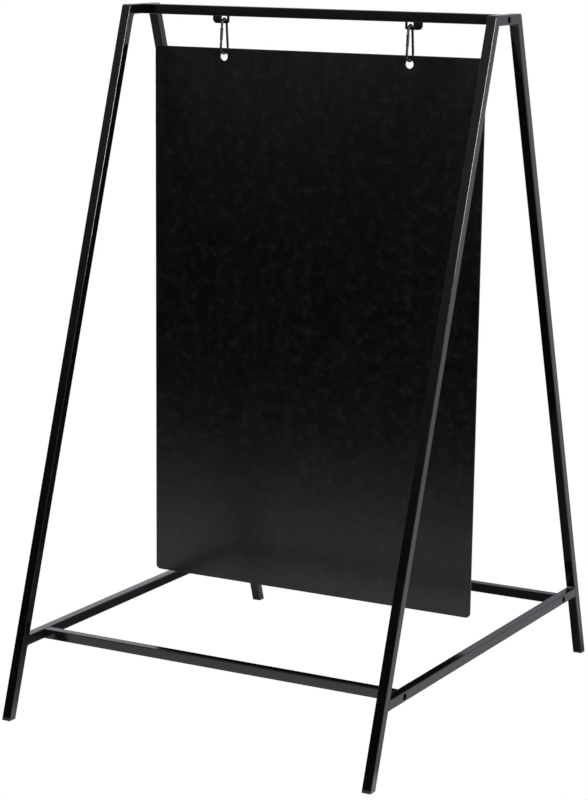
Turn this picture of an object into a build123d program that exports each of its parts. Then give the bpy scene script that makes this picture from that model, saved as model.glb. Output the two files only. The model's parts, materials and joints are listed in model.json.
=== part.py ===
from build123d import *

import math
import os

# Free-standing A-shaped sign stand with a sign panel that swings on two snap hooks.
# Millimetres, +Z up, X along the panel, front at -Y.
# The origin is on the floor under the middle of the stand.

# ---------------------------------------------------------------- overall sizes
overall_height = 1130.0
overall_width = 672.0
floor_depth = 844.0
top_depth = 94.0

# ---------------------------------------------------------------- square tube
tube_size = 16.0
tube_wall = 1.2
tube_corner = 1.5
tube_inner_corner = 0.3
top_corner_radius = 4.0
cross_bar_top = 130.5
stretcher_offset = 312.0

# ---------------------------------------------------------------- end caps
cap_flange = 5.0
cap_plug_depth = 16.0
cap_plug_wall = 1.8
cap_clearance = 0.1

# ---------------------------------------------------------------- frame bolts
bolt_radius = 3.0
bolt_length = 18.0
bolt_head_radius = 5.0
bolt_head_height = 6.0
bolt_key_across = 5.0
bolt_key_depth = 3.0
bolt_hole_clearance = 0.3
access_hole_clearance = 0.4
insert_length = 15.0
insert_chamfer = 1.0
insert_clearance = 0.05
thread_clearance = 0.02

# ---------------------------------------------------------------- hanger tabs
hook_spread = 168.5
tab_thickness = 3.0
tab_inner_leg = 3.5
tab_outer_leg = 15.5
tab_window_width = 11.0
tab_bar_height = 5.0
tab_drop = 12.0
tab_corner = 7.0
tab_inner_corner = 4.0

# ---------------------------------------------------------------- snap hooks
wire_radius = 2.0
hook_length = 60.0
hook_top_radius = 7.2
hook_bottom_radius = 11.0
bar_gap = 0.5
gate_raise = 0.232
gate_radius = 2.4
gate_reach = 18.0
end_gap = 0.3
tongue_thickness = 1.8
tongue_half_width = 1.8
tongue_root = 1.0
slot_clearance = 0.15
tongue_end_gap = 0.6
nose_tongue_length = 4.5
rivet_radius = 0.9
rivet_head_radius = 1.4
rivet_head_height = 0.8
rivet_head_recess = 0.4
rivet_running_clearance = 0.05
latch_pin_radius = 0.65
latch_pin_inset = 0.5
latch_pin_from_end = 2.2
latch_notch_clearance = 0.2
plunger_radius = 0.85
plunger_length = 2.5
plunger_gap = 0.15
spring_bore_radius = 0.95
spring_bore_depth = 11.0
spring_wire_radius = 0.15
spring_turns = 9
spring_clearance = 0.1

# ---------------------------------------------------------------- sign panel
panel_width = 600.0
panel_height = 900.0
panel_thickness = 3.0
panel_corner = 8.0
panel_hole_radius = 7.0
panel_hole_from_top = 13.5
hang_gap = 0.4

# ---------------------------------------------------------------- worked out
lean = math.atan2((floor_depth - top_depth) / 2, overall_height)
leg_slice = tube_size / math.cos(lean)
side_x = overall_width / 2 - tube_size / 2
rail_length = overall_width - 2 * tube_size
rail_z = overall_height - tube_size / 2
stretcher_z = cross_bar_top - tube_size / 2
bore_size = tube_size - 2 * tube_wall
bolt_hole_radius = bolt_radius + bolt_hole_clearance
access_hole_radius = bolt_head_radius + access_hole_clearance

rail_underside = overall_height - tube_size
bar_bottom = rail_underside - tab_drop
bar_top = bar_bottom + tab_bar_height
hook_axis_z = bar_top + bar_gap - (hook_top_radius - wire_radius)
arc_spacing = hook_length - hook_top_radius - hook_bottom_radius - 2 * wire_radius
panel_axis_z = hook_axis_z - arc_spacing
panel_hole_z = panel_axis_z - (hook_bottom_radius - wire_radius) + hang_gap - panel_hole_radius
panel_top_z = panel_hole_z + panel_hole_from_top

hook_flare = math.asin((hook_bottom_radius - hook_top_radius) / arc_spacing)
hook_line_length = arc_spacing * math.cos(hook_flare)
slot_width = tongue_thickness + 2 * slot_clearance

BIG = 4 * overall_height


# ---------------------------------------------------------------- shared shapes
def tube_section():
    """Section of the square tube, rounded outside and nearly sharp inside."""
    outside = RectangleRounded(tube_size, tube_size, tube_corner)
    return outside - RectangleRounded(bore_size, bore_size, tube_inner_corner)


def tube_between(start, end):
    """Straight run of tube from one centre point to another, one face square to X or Z."""
    start = Vector(*start)
    run = Vector(*end) - start
    side = Vector(1, 0, 0) if abs(run.X) < abs(run.Y) + abs(run.Z) else Vector(0, 0, 1)
    return extrude(Plane(origin=start, x_dir=side, z_dir=run) * tube_section(), run.length)


def frame_profile(inset):
    """Half depth of an end frame, measured inset from its outer faces, at height z."""
    return lambda z: floor_depth / 2 - inset / math.cos(lean) - z * math.tan(lean)


def side_prism(inset, corner=0.0):
    """Solid wedge, as wide as the stand, that fills an end frame's outline."""
    half = frame_profile(inset)
    points = [(-half(0), 0), (half(0), 0), (half(overall_height), overall_height),
              (-half(overall_height), overall_height)]
    outline = make_face(Polyline(*points, close=True))
    if corner > 0:
        outline = fillet(outline.vertices().sort_by(Axis.Y)[-2:], corner)
    prism = extrude(Plane.YZ * outline, overall_width, both=True)
    return prism


def mitre_half(front, header_side):
    """Half space on the header's side, or on the leg's side, of the mitre between them."""
    way = -1 if front else 1
    corner = (0, way * top_depth / 2, overall_height)
    normal = Vector(0, -way * math.cos(lean), 1 - math.sin(lean))
    if not header_side:
        normal = normal * -1
    plane = Plane(origin=corner, x_dir=(1, 0, 0), z_dir=normal)
    return plane * Box(BIG, BIG, BIG, align=(Align.CENTER, Align.CENTER, Align.MIN))


def hole_along_x(radius, x_from, x_to, y, z):
    """Round cutter along X."""
    plane = Plane(origin=(min(x_from, x_to), y, z), z_dir=(1, 0, 0))
    return extrude(plane * Circle(radius), abs(x_to - x_from))


def bolt_holes(side, y, z):
    """Access hole in the outer wall and bolt hole in the inner wall of an end frame tube."""
    inner = side * (overall_width / 2 - tube_size)
    middle = side * side_x
    outer = side * overall_width / 2
    clear = side * tube_wall
    bolt_hole = hole_along_x(bolt_hole_radius, inner - clear, middle, y, z)
    access = hole_along_x(access_hole_radius, middle, outer + clear, y, z)
    return bolt_hole + access


# ---------------------------------------------------------------- end frames
def leg(side, front):
    """One slanted leg, square to the header's mitre and cut level above its end cap."""
    way = -1 if front else 1
    centre = frame_profile(tube_size / 2)
    foot = (side * side_x, way * centre(-tube_size), -tube_size)
    head = (side * side_x, way * centre(overall_height + tube_size), overall_height + tube_size)
    tube = tube_between(foot, head) - mitre_half(front, header_side=True)
    floor_cut = Box(BIG, BIG, BIG, align=(Align.CENTER, Align.CENTER, Align.MAX))
    tube -= Pos(0, 0, cap_flange) * floor_cut
    return tube & side_prism(0, top_corner_radius)


def header(side):
    """Short top tube of an end frame, mitred to both legs and drilled for the rail's bolt."""
    x = side * side_x
    tube = tube_between((x, -top_depth, rail_z), (x, top_depth, rail_z))
    for front in (True, False):
        tube -= mitre_half(front, header_side=False)
    tube &= side_prism(0, top_corner_radius)
    return tube - bolt_holes(side, 0, rail_z)


def cross_bar(side):
    """Low tube between the legs of an end frame, cut to their slant."""
    x = side * side_x
    half = floor_depth / 2
    tube = tube_between((x, -half, stretcher_z), (x, half, stretcher_z)) & side_prism(tube_size)
    for way in (-1, 1):
        tube -= bolt_holes(side, way * stretcher_offset, stretcher_z)
    return tube


# ---------------------------------------------------------------- rail and stretchers
def rail(y, z):
    """Tube that joins the two end frames, square at both ends."""
    half = rail_length / 2
    return tube_between((-half, y, z), (half, y, z))


rail_places = [(0, rail_z), (-stretcher_offset, stretcher_z), (stretcher_offset, stretcher_z)]


def insert(side, y, z):
    """Threaded block pressed into the end of a rail."""
    size = bore_size - 2 * insert_clearance
    block = Box(insert_length, size, size)
    block = chamfer(block.edges().filter_by(Axis.X), insert_chamfer)
    block = Pos(side * (rail_length - insert_length) / 2, y, z) * block
    return block - hole_along_x(bolt_radius + thread_clearance, -BIG, BIG, y, z)


def frame_bolt(side, y, z):
    """Socket-head bolt whose head sits inside the end frame's tube."""
    seat = side * (rail_length / 2 + tube_wall)
    bolt = hole_along_x(bolt_head_radius, seat, seat + side * bolt_head_height, y, z)
    bolt += hole_along_x(bolt_radius, seat, seat - side * bolt_length, y, z)
    top = Plane(origin=(seat + side * bolt_head_height, y, z), z_dir=(-side, 0, 0))
    key = RegularPolygon(bolt_key_across / 2, 6, major_radius=False)
    return bolt - extrude(top * key, bolt_key_depth)


def end_cap(side, front):
    """Plastic cap: a slanted flange under the leg and a hollow plug inside it."""
    way = -1 if front else 1
    centre = frame_profile(tube_size / 2)
    x = side * side_x
    start = (x, way * centre(-tube_size), -tube_size)
    end = (x, way * centre(overall_height), overall_height)
    path = Vector(*end) - Vector(*start)
    base = Plane(origin=start, x_dir=(1, 0, 0), z_dir=path)
    plug_size = bore_size - 2 * cap_clearance
    flange = extrude(base * RectangleRounded(tube_size, tube_size, tube_corner), path.length)
    plug = extrude(base * Rectangle(plug_size, plug_size), path.length)
    hollow = extrude(base * Rectangle(plug_size - 2 * cap_plug_wall, plug_size - 2 * cap_plug_wall),
                     path.length)
    flange &= Box(BIG, BIG, cap_flange, align=(Align.CENTER, Align.CENTER, Align.MIN))
    level = Box(BIG, BIG, cap_plug_depth, align=(Align.CENTER, Align.CENTER, Align.MIN))
    plug = (plug - hollow) & (Pos(0, 0, cap_flange) * level)
    return flange + plug


# ---------------------------------------------------------------- hanger tabs
def hanger_tab(side):
    """Flat tab under the rail: a bar for the hook, held by a narrow leg and a wide leg."""
    window = side * hook_spread
    half_window = tab_window_width / 2
    outer = half_window + tab_outer_leg
    inner = half_window + tab_inner_leg
    plate = Pos((outer - inner) / 2, -tab_drop / 2) * Rectangle(outer + inner, tab_drop)
    low = plate.vertices().sort_by(Axis.Y)[:2].sort_by(Axis.X)
    plate = fillet(low[1], tab_corner)
    low = plate.vertices().sort_by(Axis.X)[:2].sort_by(Axis.Y)
    plate = fillet(low[0], tab_inner_corner)
    opening = tab_drop - tab_bar_height
    plate -= Pos(0, -opening / 2) * Rectangle(tab_window_width, opening)
    solid = extrude(Plane.XZ * plate, tab_thickness / 2, both=True)
    if side < 0:
        solid = mirror(solid, about=Plane.YZ)
    return Pos(window, 0, rail_underside) * solid


# ---------------------------------------------------------------- snap hooks
# Each hook is drawn in its own plane: Y across, Z up, with the hook's swing axis at 0, 0.
leg_direction = Vector(0, -math.sin(hook_flare), -math.cos(hook_flare))
leg_top = Vector(0, -hook_top_radius * math.cos(hook_flare), hook_top_radius * math.sin(hook_flare))
# The gate sits half way down the straight leg, raised a little.
hinge_run = (hook_line_length - gate_reach) / 2 - gate_raise
hinge_point = leg_top + leg_direction * hinge_run


def on_leg(run):
    """Plane across the front leg, run below the gate's hinge, with Z pointing down the leg."""
    return Plane(origin=hinge_point + leg_direction * run, x_dir=(1, 0, 0), z_dir=leg_direction)


def leg_cylinder(radius, run_from, run_to):
    """Round bar along the front leg between two distances below the hinge."""
    return extrude(on_leg(run_from) * Circle(radius), run_to - run_from)


def leg_slab(thickness, half_width, run_from, run_to):
    """Flat bar along the front leg."""
    return extrude(on_leg(run_from) * Rectangle(thickness, 2 * half_width), run_to - run_from)


def cross_pin(radius, run, length):
    """Round bar along X through the front leg."""
    centre = hinge_point + leg_direction * run
    plane = Plane(origin=centre - Vector(length / 2, 0, 0), z_dir=(1, 0, 0))
    return extrude(plane * Circle(radius), length)


def hook_body():
    """Bent wire of a snap hook, with a flat tongue at the gate's hinge and at the nose."""
    reach = gate_radius + end_gap
    bend_start = hinge_point - leg_direction * reach
    nose_start = hinge_point + leg_direction * (gate_reach + end_gap)
    low_front = leg_top + leg_direction * hook_line_length
    low_rear = Vector(0, -low_front.Y, low_front.Z)
    top_rear = Vector(0, -leg_top.Y, leg_top.Z)
    crown = Vector(0, 0, hook_top_radius)
    heel = Vector(0, 0, -arc_spacing - hook_bottom_radius)
    path = Wire([
        Edge.make_line(bend_start, leg_top),
        Edge.make_three_point_arc(leg_top, crown, top_rear),
        Edge.make_line(top_rear, low_rear),
        Edge.make_three_point_arc(low_rear, heel, low_front),
        Edge.make_line(low_front, nose_start),
    ])
    section = Plane(origin=bend_start, z_dir=leg_direction * -1) * Circle(wire_radius)
    body = sweep(section, path=path)
    tongue = leg_slab(tongue_thickness, tongue_half_width, -reach - tongue_root, 0)
    tongue += cross_pin(tongue_half_width, 0, tongue_thickness)
    tongue -= cross_pin(rivet_radius + rivet_running_clearance, 0, tongue_thickness)
    tip = gate_reach + end_gap
    nose = leg_slab(tongue_thickness, tongue_half_width, tip - nose_tongue_length, tip + tongue_root)
    notch_radius = latch_pin_radius + latch_notch_clearance
    latch_run = gate_reach - latch_pin_from_end
    notch = cross_pin(notch_radius, latch_run, tongue_thickness)
    inward = on_leg(latch_run - notch_radius) * Pos(0, -tongue_half_width / 2)
    notch_slot = extrude(inward * Rectangle(tongue_thickness, tongue_half_width), 2 * notch_radius)
    return body + tongue + (nose - notch - notch_slot)


def gate():
    """Spring gate: a round bar forked at its hinge and slotted at its tip."""
    bar = leg_cylinder(gate_radius, 0, gate_reach)
    ears = leg_cylinder(gate_radius, -gate_radius, 0) & cross_pin(gate_radius, 0, 2 * gate_radius)
    bar += ears
    slot_floor = tongue_half_width + tongue_end_gap
    bar -= leg_slab(slot_width, gate_radius, -gate_radius, slot_floor)
    nose_clear = nose_tongue_length - end_gap + tongue_end_gap
    bar -= leg_slab(slot_width, gate_radius, gate_reach - nose_clear, gate_reach)
    bar -= cross_pin(rivet_radius, 0, 2 * gate_radius)
    heads = cross_pin(rivet_head_radius, 0, 2 * gate_radius)
    bar -= heads - cross_pin(rivet_head_radius, 0, 2 * (gate_radius - rivet_head_recess))
    bar -= cross_pin(latch_pin_radius, gate_reach - latch_pin_from_end, 2 * gate_radius)
    return bar - leg_cylinder(spring_bore_radius, slot_floor, spring_bore_depth)


def gate_pins():
    """Headed hinge rivet and plain latch pin, both held in the gate's ears."""
    seat = gate_radius - rivet_head_recess
    rivet = cross_pin(rivet_radius, 0, 2 * seat)
    heads = cross_pin(rivet_head_radius, 0, 2 * (seat + rivet_head_height))
    rivet += heads - cross_pin(rivet_head_radius, 0, 2 * seat)
    latch_length = 2 * (gate_radius - latch_pin_inset)
    latch = cross_pin(latch_pin_radius, gate_reach - latch_pin_from_end, latch_length)
    return Compound([rivet.solid(), latch.solid()])


plunger_start = tongue_half_width + plunger_gap


def gate_plunger():
    """Small pin that the spring presses against the hook's tongue."""
    return leg_cylinder(plunger_radius, plunger_start, plunger_start + plunger_length)


def gate_spring():
    """Coil spring in the gate's bore, behind the plunger."""
    start = plunger_start + plunger_length + spring_wire_radius
    length = spring_bore_depth - spring_wire_radius - start
    coil_radius = spring_bore_radius - spring_clearance - spring_wire_radius
    helix = Edge.make_helix(length / spring_turns, length, coil_radius)
    section = Plane(origin=helix @ 0, z_dir=helix % 0) * Circle(spring_wire_radius)
    coil = sweep(section, path=Wire([helix]), is_frenet=True)
    return on_leg(start) * coil


def placed(piece, side):
    """Moves a hook piece from its own plane to one side of the stand."""
    return Pos(side * hook_spread, 0, hook_axis_z) * piece


# ---------------------------------------------------------------- sign panel
def sign_panel():
    """Flat sheet with rounded corners and two holes near its top edge."""
    sheet = RectangleRounded(panel_width, panel_height, panel_corner)
    for side in (-1, 1):
        hole = Pos(side * hook_spread, panel_height / 2 - panel_hole_from_top)
        sheet -= hole * Circle(panel_hole_radius)
    solid = extrude(Plane.XZ * sheet, panel_thickness / 2, both=True)
    return Pos(0, 0, panel_top_z - panel_height / 2) * solid


# ---------------------------------------------------------------- output
def as_solids(pieces):
    """Groups several pieces in one node, each as its own solid."""
    return Compound([solid for piece in pieces for solid in piece.solids()])


def build():
    """Makes every node of the stand, by name."""
    nodes = {}
    sides = {"left": -1, "right": 1}
    for name, side in sides.items():
        nodes[f"{name}_front_leg"] = leg(side, front=True)
        nodes[f"{name}_rear_leg"] = leg(side, front=False)
        nodes[f"{name}_header"] = header(side)
        nodes[f"{name}_cross_bar"] = cross_bar(side)
        nodes[f"{name}_hanger_tab"] = hanger_tab(side)
        nodes[f"{name}_hook_body"] = placed(hook_body(), side)
        nodes[f"{name}_gate"] = placed(gate(), side)
        nodes[f"{name}_gate_pins"] = placed(gate_pins(), side)
        nodes[f"{name}_gate_plunger"] = placed(gate_plunger(), side)
        nodes[f"{name}_gate_spring"] = placed(gate_spring(), side)
    for name, place in zip(("top_rail", "front_stretcher", "rear_stretcher"), rail_places):
        nodes[name] = rail(*place)
    ends = [(side, *place) for place in rail_places for side in (-1, 1)]
    nodes["threaded_inserts"] = as_solids(insert(*end) for end in ends)
    nodes["frame_bolts"] = as_solids(frame_bolt(*end) for end in ends)
    nodes["end_caps"] = as_solids(end_cap(side, front) for side in (-1, 1) for front in (True, False))
    nodes["sign_panel"] = sign_panel()
    return nodes


os.makedirs("parts", exist_ok=True)
for node_name, node_shape in build().items():
    export_step(node_shape, os.path.join("parts", f"{node_name}.step"))
print("hook axis z", hook_axis_z, "panel axis z", panel_axis_z, "panel top z", panel_top_z)
print("gate hinge y z", hinge_point.Y, hook_axis_z + hinge_point.Z, "flare", math.degrees(hook_flare))
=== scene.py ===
"""Free-standing sign stand: an A-shaped frame and a sheet that swings on two snap hooks.

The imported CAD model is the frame. This script replaces its tubes, caps, tabs, bolts, hooks and
sheet with finished meshes of the same sizes, adds the weld beads, gives every piece its finish,
and sets up the studio. All lengths are in metres: X runs along the sheet, the front faces -Y and
the floor is at Z = 0.
"""

from __future__ import annotations

import json
import logging
import math
from collections.abc import Callable, Iterable, Sequence
from dataclasses import dataclass, field
from enum import Enum

import bmesh
import bpy
from mathutils import Matrix, Vector

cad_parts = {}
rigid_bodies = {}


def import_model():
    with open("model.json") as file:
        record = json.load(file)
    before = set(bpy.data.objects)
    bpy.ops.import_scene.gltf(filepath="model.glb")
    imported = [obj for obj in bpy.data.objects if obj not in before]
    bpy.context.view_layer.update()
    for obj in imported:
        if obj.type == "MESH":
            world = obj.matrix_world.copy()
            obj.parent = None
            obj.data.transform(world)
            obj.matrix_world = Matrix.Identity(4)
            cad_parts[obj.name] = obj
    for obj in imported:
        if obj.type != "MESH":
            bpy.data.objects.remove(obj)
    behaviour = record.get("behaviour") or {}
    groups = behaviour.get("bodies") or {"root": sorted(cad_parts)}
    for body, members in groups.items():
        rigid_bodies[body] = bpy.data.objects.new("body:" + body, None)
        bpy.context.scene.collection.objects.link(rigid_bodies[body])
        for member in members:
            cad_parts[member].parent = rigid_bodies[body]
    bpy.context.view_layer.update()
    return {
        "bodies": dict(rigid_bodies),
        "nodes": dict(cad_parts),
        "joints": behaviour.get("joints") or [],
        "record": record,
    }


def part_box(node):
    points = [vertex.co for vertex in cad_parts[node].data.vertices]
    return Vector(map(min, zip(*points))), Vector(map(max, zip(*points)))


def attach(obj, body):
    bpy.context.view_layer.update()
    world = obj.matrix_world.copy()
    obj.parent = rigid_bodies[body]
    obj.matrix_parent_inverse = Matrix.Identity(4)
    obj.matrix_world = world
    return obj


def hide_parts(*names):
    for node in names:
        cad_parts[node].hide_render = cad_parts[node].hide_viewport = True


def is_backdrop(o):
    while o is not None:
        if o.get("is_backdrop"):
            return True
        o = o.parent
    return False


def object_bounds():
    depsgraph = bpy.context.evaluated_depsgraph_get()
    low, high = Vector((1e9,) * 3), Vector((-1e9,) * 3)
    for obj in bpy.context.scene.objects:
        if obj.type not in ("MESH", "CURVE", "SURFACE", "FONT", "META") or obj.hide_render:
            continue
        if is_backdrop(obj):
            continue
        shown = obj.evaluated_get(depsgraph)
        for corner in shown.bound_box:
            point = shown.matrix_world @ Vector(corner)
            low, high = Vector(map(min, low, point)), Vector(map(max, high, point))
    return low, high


LOG = logging.getLogger("sign_stand")
MERGE_DISTANCE = 1e-6
EDGE_ATTRIBUTE = "edge"
OUT_ATTRIBUTE = "outward"
HOOK_SPREAD = 0.1685
BEVEL_SHARE = 0.3
Station = Callable[[float, float], Vector]


class Side(Enum):
    """The two ends of the stand."""

    LEFT = -1
    RIGHT = 1

    @property
    def label(self) -> str:
        """Name used at the start of this side's pieces."""
        return self.name.lower()


class Way(Enum):
    """The two slanted halves of an end frame."""

    FRONT = -1
    REAR = 1

    @property
    def label(self) -> str:
        """Name used inside this half's pieces."""
        return self.name.lower()


# ---------------------------------------------------------------- node graphs
class Graph:
    """Adds nodes to one tree and links them."""

    def __init__(self, tree: bpy.types.NodeTree) -> None:
        """Keeps the tree.

        Args:
            tree: The node tree to fill.
        """
        self.tree = tree

    def node(self, kind: str, values: dict | None = None, **settings: object) -> bpy.types.Node:
        """Adds a node.

        Args:
            kind: The node's type.
            values: Input name or index to a value, or to the socket that feeds it.
            **settings: Properties of the node itself.

        Returns:
            The new node.
        """
        made = self.tree.nodes.new(kind)
        for key, value in settings.items():
            setattr(made, key, value)
        for key, value in (values or {}).items():
            if isinstance(value, bpy.types.NodeSocket):
                self.tree.links.new(value, made.inputs[key])
            else:
                made.inputs[key].default_value = value
        return made

    def math(self, operation: str, *values: object) -> bpy.types.NodeSocket:
        """Adds a Math node.

        Args:
            operation: The Math node's operation.
            *values: Its inputs, as numbers or sockets.

        Returns:
            The result socket.
        """
        kind = "ShaderNodeMath"
        return self.node(kind, dict(enumerate(values)), operation=operation).outputs[0]

    def remap(self, value: bpy.types.NodeSocket, low: float, high: float,
              to_low: float = 0.0, to_high: float = 1.0) -> bpy.types.NodeSocket:
        """Maps a value smoothly from one range to another.

        Args:
            value: The socket to map.
            low: Where the input range starts.
            high: Where the input range ends.
            to_low: The result at low.
            to_high: The result at high.

        Returns:
            The mapped socket.
        """
        limits = {"Value": value, 1: low, 2: high, 3: to_low, 4: to_high}
        return self.node("ShaderNodeMapRange", limits, interpolation_type="SMOOTHSTEP").outputs[0]

    def mix_color(self, factor: object, first: object, second: object,
                  blend: str = "MIX") -> bpy.types.NodeSocket:
        """Mixes two colours.

        Args:
            factor: The share of the second colour.
            first: A colour or socket.
            second: A colour or socket.
            blend: The Mix node's blend type.

        Returns:
            The mixed colour.
        """
        values = {0: factor, 6: first, 7: second}
        return self.node("ShaderNodeMix", values, data_type="RGBA", blend_type=blend).outputs[2]


@dataclass(frozen=True)
class Socket:
    """One named socket of a node group."""

    name: str
    kind: str
    default: object = None
    goes_in: bool = True

    def declare(self, tree: bpy.types.NodeTree) -> str:
        """Adds the socket to a tree's interface.

        Args:
            tree: The group's tree.

        Returns:
            The socket's identifier.
        """
        way = "INPUT" if self.goes_in else "OUTPUT"
        made = tree.interface.new_socket(name=self.name, in_out=way, socket_type=self.kind)
        if self.default is not None:
            made.default_value = self.default
        return made.identifier


FLOAT = "NodeSocketFloat"
VECTOR = "NodeSocketVector"
GEOMETRY = "NodeSocketGeometry"
MATERIAL = "NodeSocketMaterial"


# ---------------------------------------------------------------- shared shader groups
class SurfaceGroups:
    """The shader groups that several finishes share."""

    def __init__(self) -> None:
        """Builds each group once."""
        self.grain = self._grain()
        self.wear = self._edge_wear()
        self.dust = self._dust()
        # Painted sheen: a pale highlight painted into a colour, lighter towards the top.
        self.haze = self._haze()

    @staticmethod
    def _start(name: str, sockets: Sequence[Socket]) -> tuple[Graph, dict, bpy.types.Node]:
        """Starts a shader group.

        Args:
            name: The group's name.
            sockets: Its inputs and outputs.

        Returns:
            The graph, the inputs by name, and the output node.
        """
        tree = bpy.data.node_groups.new(name, "ShaderNodeTree")
        for socket in sockets:
            socket.declare(tree)
        graph = Graph(tree)
        inputs = {s.name: s for s in graph.node("NodeGroupInput").outputs if s.name}
        return graph, inputs, graph.node("NodeGroupOutput")

    def _grain(self) -> bpy.types.NodeTree:
        """Fine texture of a sprayed or moulded surface, with a slow unevenness over it.

        Returns:
            The group's tree.
        """
        graph, given, out = self._start("surface_grain", [
            Socket("Position", VECTOR), Socket("Cells per metre", FLOAT, 900.0),
            Socket("Unevenness per metre", FLOAT, 14.0),
            Socket("Height", FLOAT, goes_in=False), Socket("Cloud", FLOAT, goes_in=False)])
        cells = graph.node("ShaderNodeTexVoronoi", {
            "Vector": given["Position"], "Scale": given["Cells per metre"]}, feature="SMOOTH_F1")
        fine = graph.node("ShaderNodeTexNoise", {
            "Vector": given["Position"], "Scale": given["Cells per metre"], "Detail": 3.0})
        cloud = graph.node("ShaderNodeTexNoise", {
            "Vector": given["Position"], "Scale": given["Unevenness per metre"],
            "Detail": 2.0, "Roughness": 0.5})
        height = graph.math("MULTIPLY_ADD", fine.outputs[0], 0.5, cells.outputs["Distance"])
        graph.tree.links.new(height, out.inputs["Height"])
        graph.tree.links.new(graph.remap(cloud.outputs[0], 0.3, 0.7), out.inputs["Cloud"])
        return graph.tree

    def _edge_wear(self) -> bpy.types.NodeTree:
        """Patchy wear along the edges that a piece's mesh marks.

        Returns:
            The group's tree.
        """
        graph, given, out = self._start("edge_wear", [
            Socket("Position", VECTOR), Socket("Edge", FLOAT, 0.0),
            Socket("Patches per metre", FLOAT, 60.0), Socket("Reach", FLOAT, 0.5),
            Socket("Wear", FLOAT, goes_in=False)])
        patches = graph.node("ShaderNodeTexNoise", {
            "Vector": given["Position"], "Scale": given["Patches per metre"],
            "Detail": 6.0, "Roughness": 0.65})
        worn = graph.remap(patches.outputs[0], 0.45, 0.75)
        near = graph.math("SMOOTH_MIN", given["Edge"], given["Reach"], 0.1)
        graph.tree.links.new(graph.math("MULTIPLY", worn, near), out.inputs["Wear"])
        return graph.tree

    def _dust(self) -> bpy.types.NodeTree:
        """Small light specks, and a thin film where a surface faces up.

        Returns:
            The group's tree.
        """
        graph, given, out = self._start("dust", [
            Socket("Position", VECTOR), Socket("Facing", VECTOR),
            Socket("Specks per metre", FLOAT, 55.0), Socket("Film", FLOAT, 0.1),
            Socket("Dust", FLOAT, goes_in=False)])
        bent = graph.node("ShaderNodeTexNoise", {
            "Vector": given["Position"], "Scale": 180.0, "Detail": 2.0})
        moved = graph.node("ShaderNodeMix", {
            0: 0.0016, 4: given["Position"], 5: bent.outputs["Color"]}, data_type="VECTOR")
        spots = graph.node("ShaderNodeTexVoronoi", {
            "Vector": moved.outputs[1], "Scale": given["Specks per metre"], "Randomness": 1.0})
        lot = graph.node("ShaderNodeSeparateColor", {"Color": spots.outputs["Color"]})
        chosen = graph.remap(lot.outputs[0], 0.72, 0.98)
        size = graph.math("MULTIPLY_ADD", lot.outputs[1], 0.09, 0.02)
        near = graph.math("SUBTRACT", 1.0, graph.math("DIVIDE", spots.outputs["Distance"], size))
        speck = graph.math("MULTIPLY", graph.math("MAXIMUM", near, 0.0), chosen)
        up = graph.node("ShaderNodeSeparateXYZ", {"Vector": given["Facing"]}).outputs["Z"]
        film = graph.math("MULTIPLY", graph.remap(up, 0.5, 1.0), given["Film"])
        graph.tree.links.new(graph.math("MAXIMUM", speck, film), out.inputs["Dust"])
        return graph.tree

    def _haze(self) -> bpy.types.NodeTree:
        """Painted sheen: a pale highlight painted into the colour that grows towards the top,
        broken into soft upright streaks.

        Returns:
            The group's tree.
        """
        graph, given, out = self._start("wiped_haze", [
            Socket("Position", VECTOR), Socket("Low", FLOAT, 0.6), Socket("High", FLOAT, 1.06),
            Socket("Haze", FLOAT, goes_in=False)])
        drawn = graph.node("ShaderNodeVectorMath", {
            0: given["Position"], 1: (1.0, 1.0, 0.15)}, operation="MULTIPLY")
        streaks = graph.node("ShaderNodeTexNoise", {
            "Vector": drawn.outputs[0], "Scale": 32.0, "Detail": 3.0, "Roughness": 0.55})
        streaked = graph.remap(streaks.outputs[0], 0.25, 0.75, 0.7, 1.25)
        height = graph.node("ShaderNodeSeparateXYZ", {"Vector": given["Position"]}).outputs["Z"]
        rise = graph.math("DIVIDE", graph.math("SUBTRACT", height, given["Low"]),
                          graph.math("SUBTRACT", given["High"], given["Low"]))
        level = graph.math("POWER", graph.math("MAXIMUM", rise, 0.0), 2.0)
        graph.tree.links.new(graph.math("MULTIPLY", level, streaked), out.inputs["Haze"])
        return graph.tree


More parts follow.
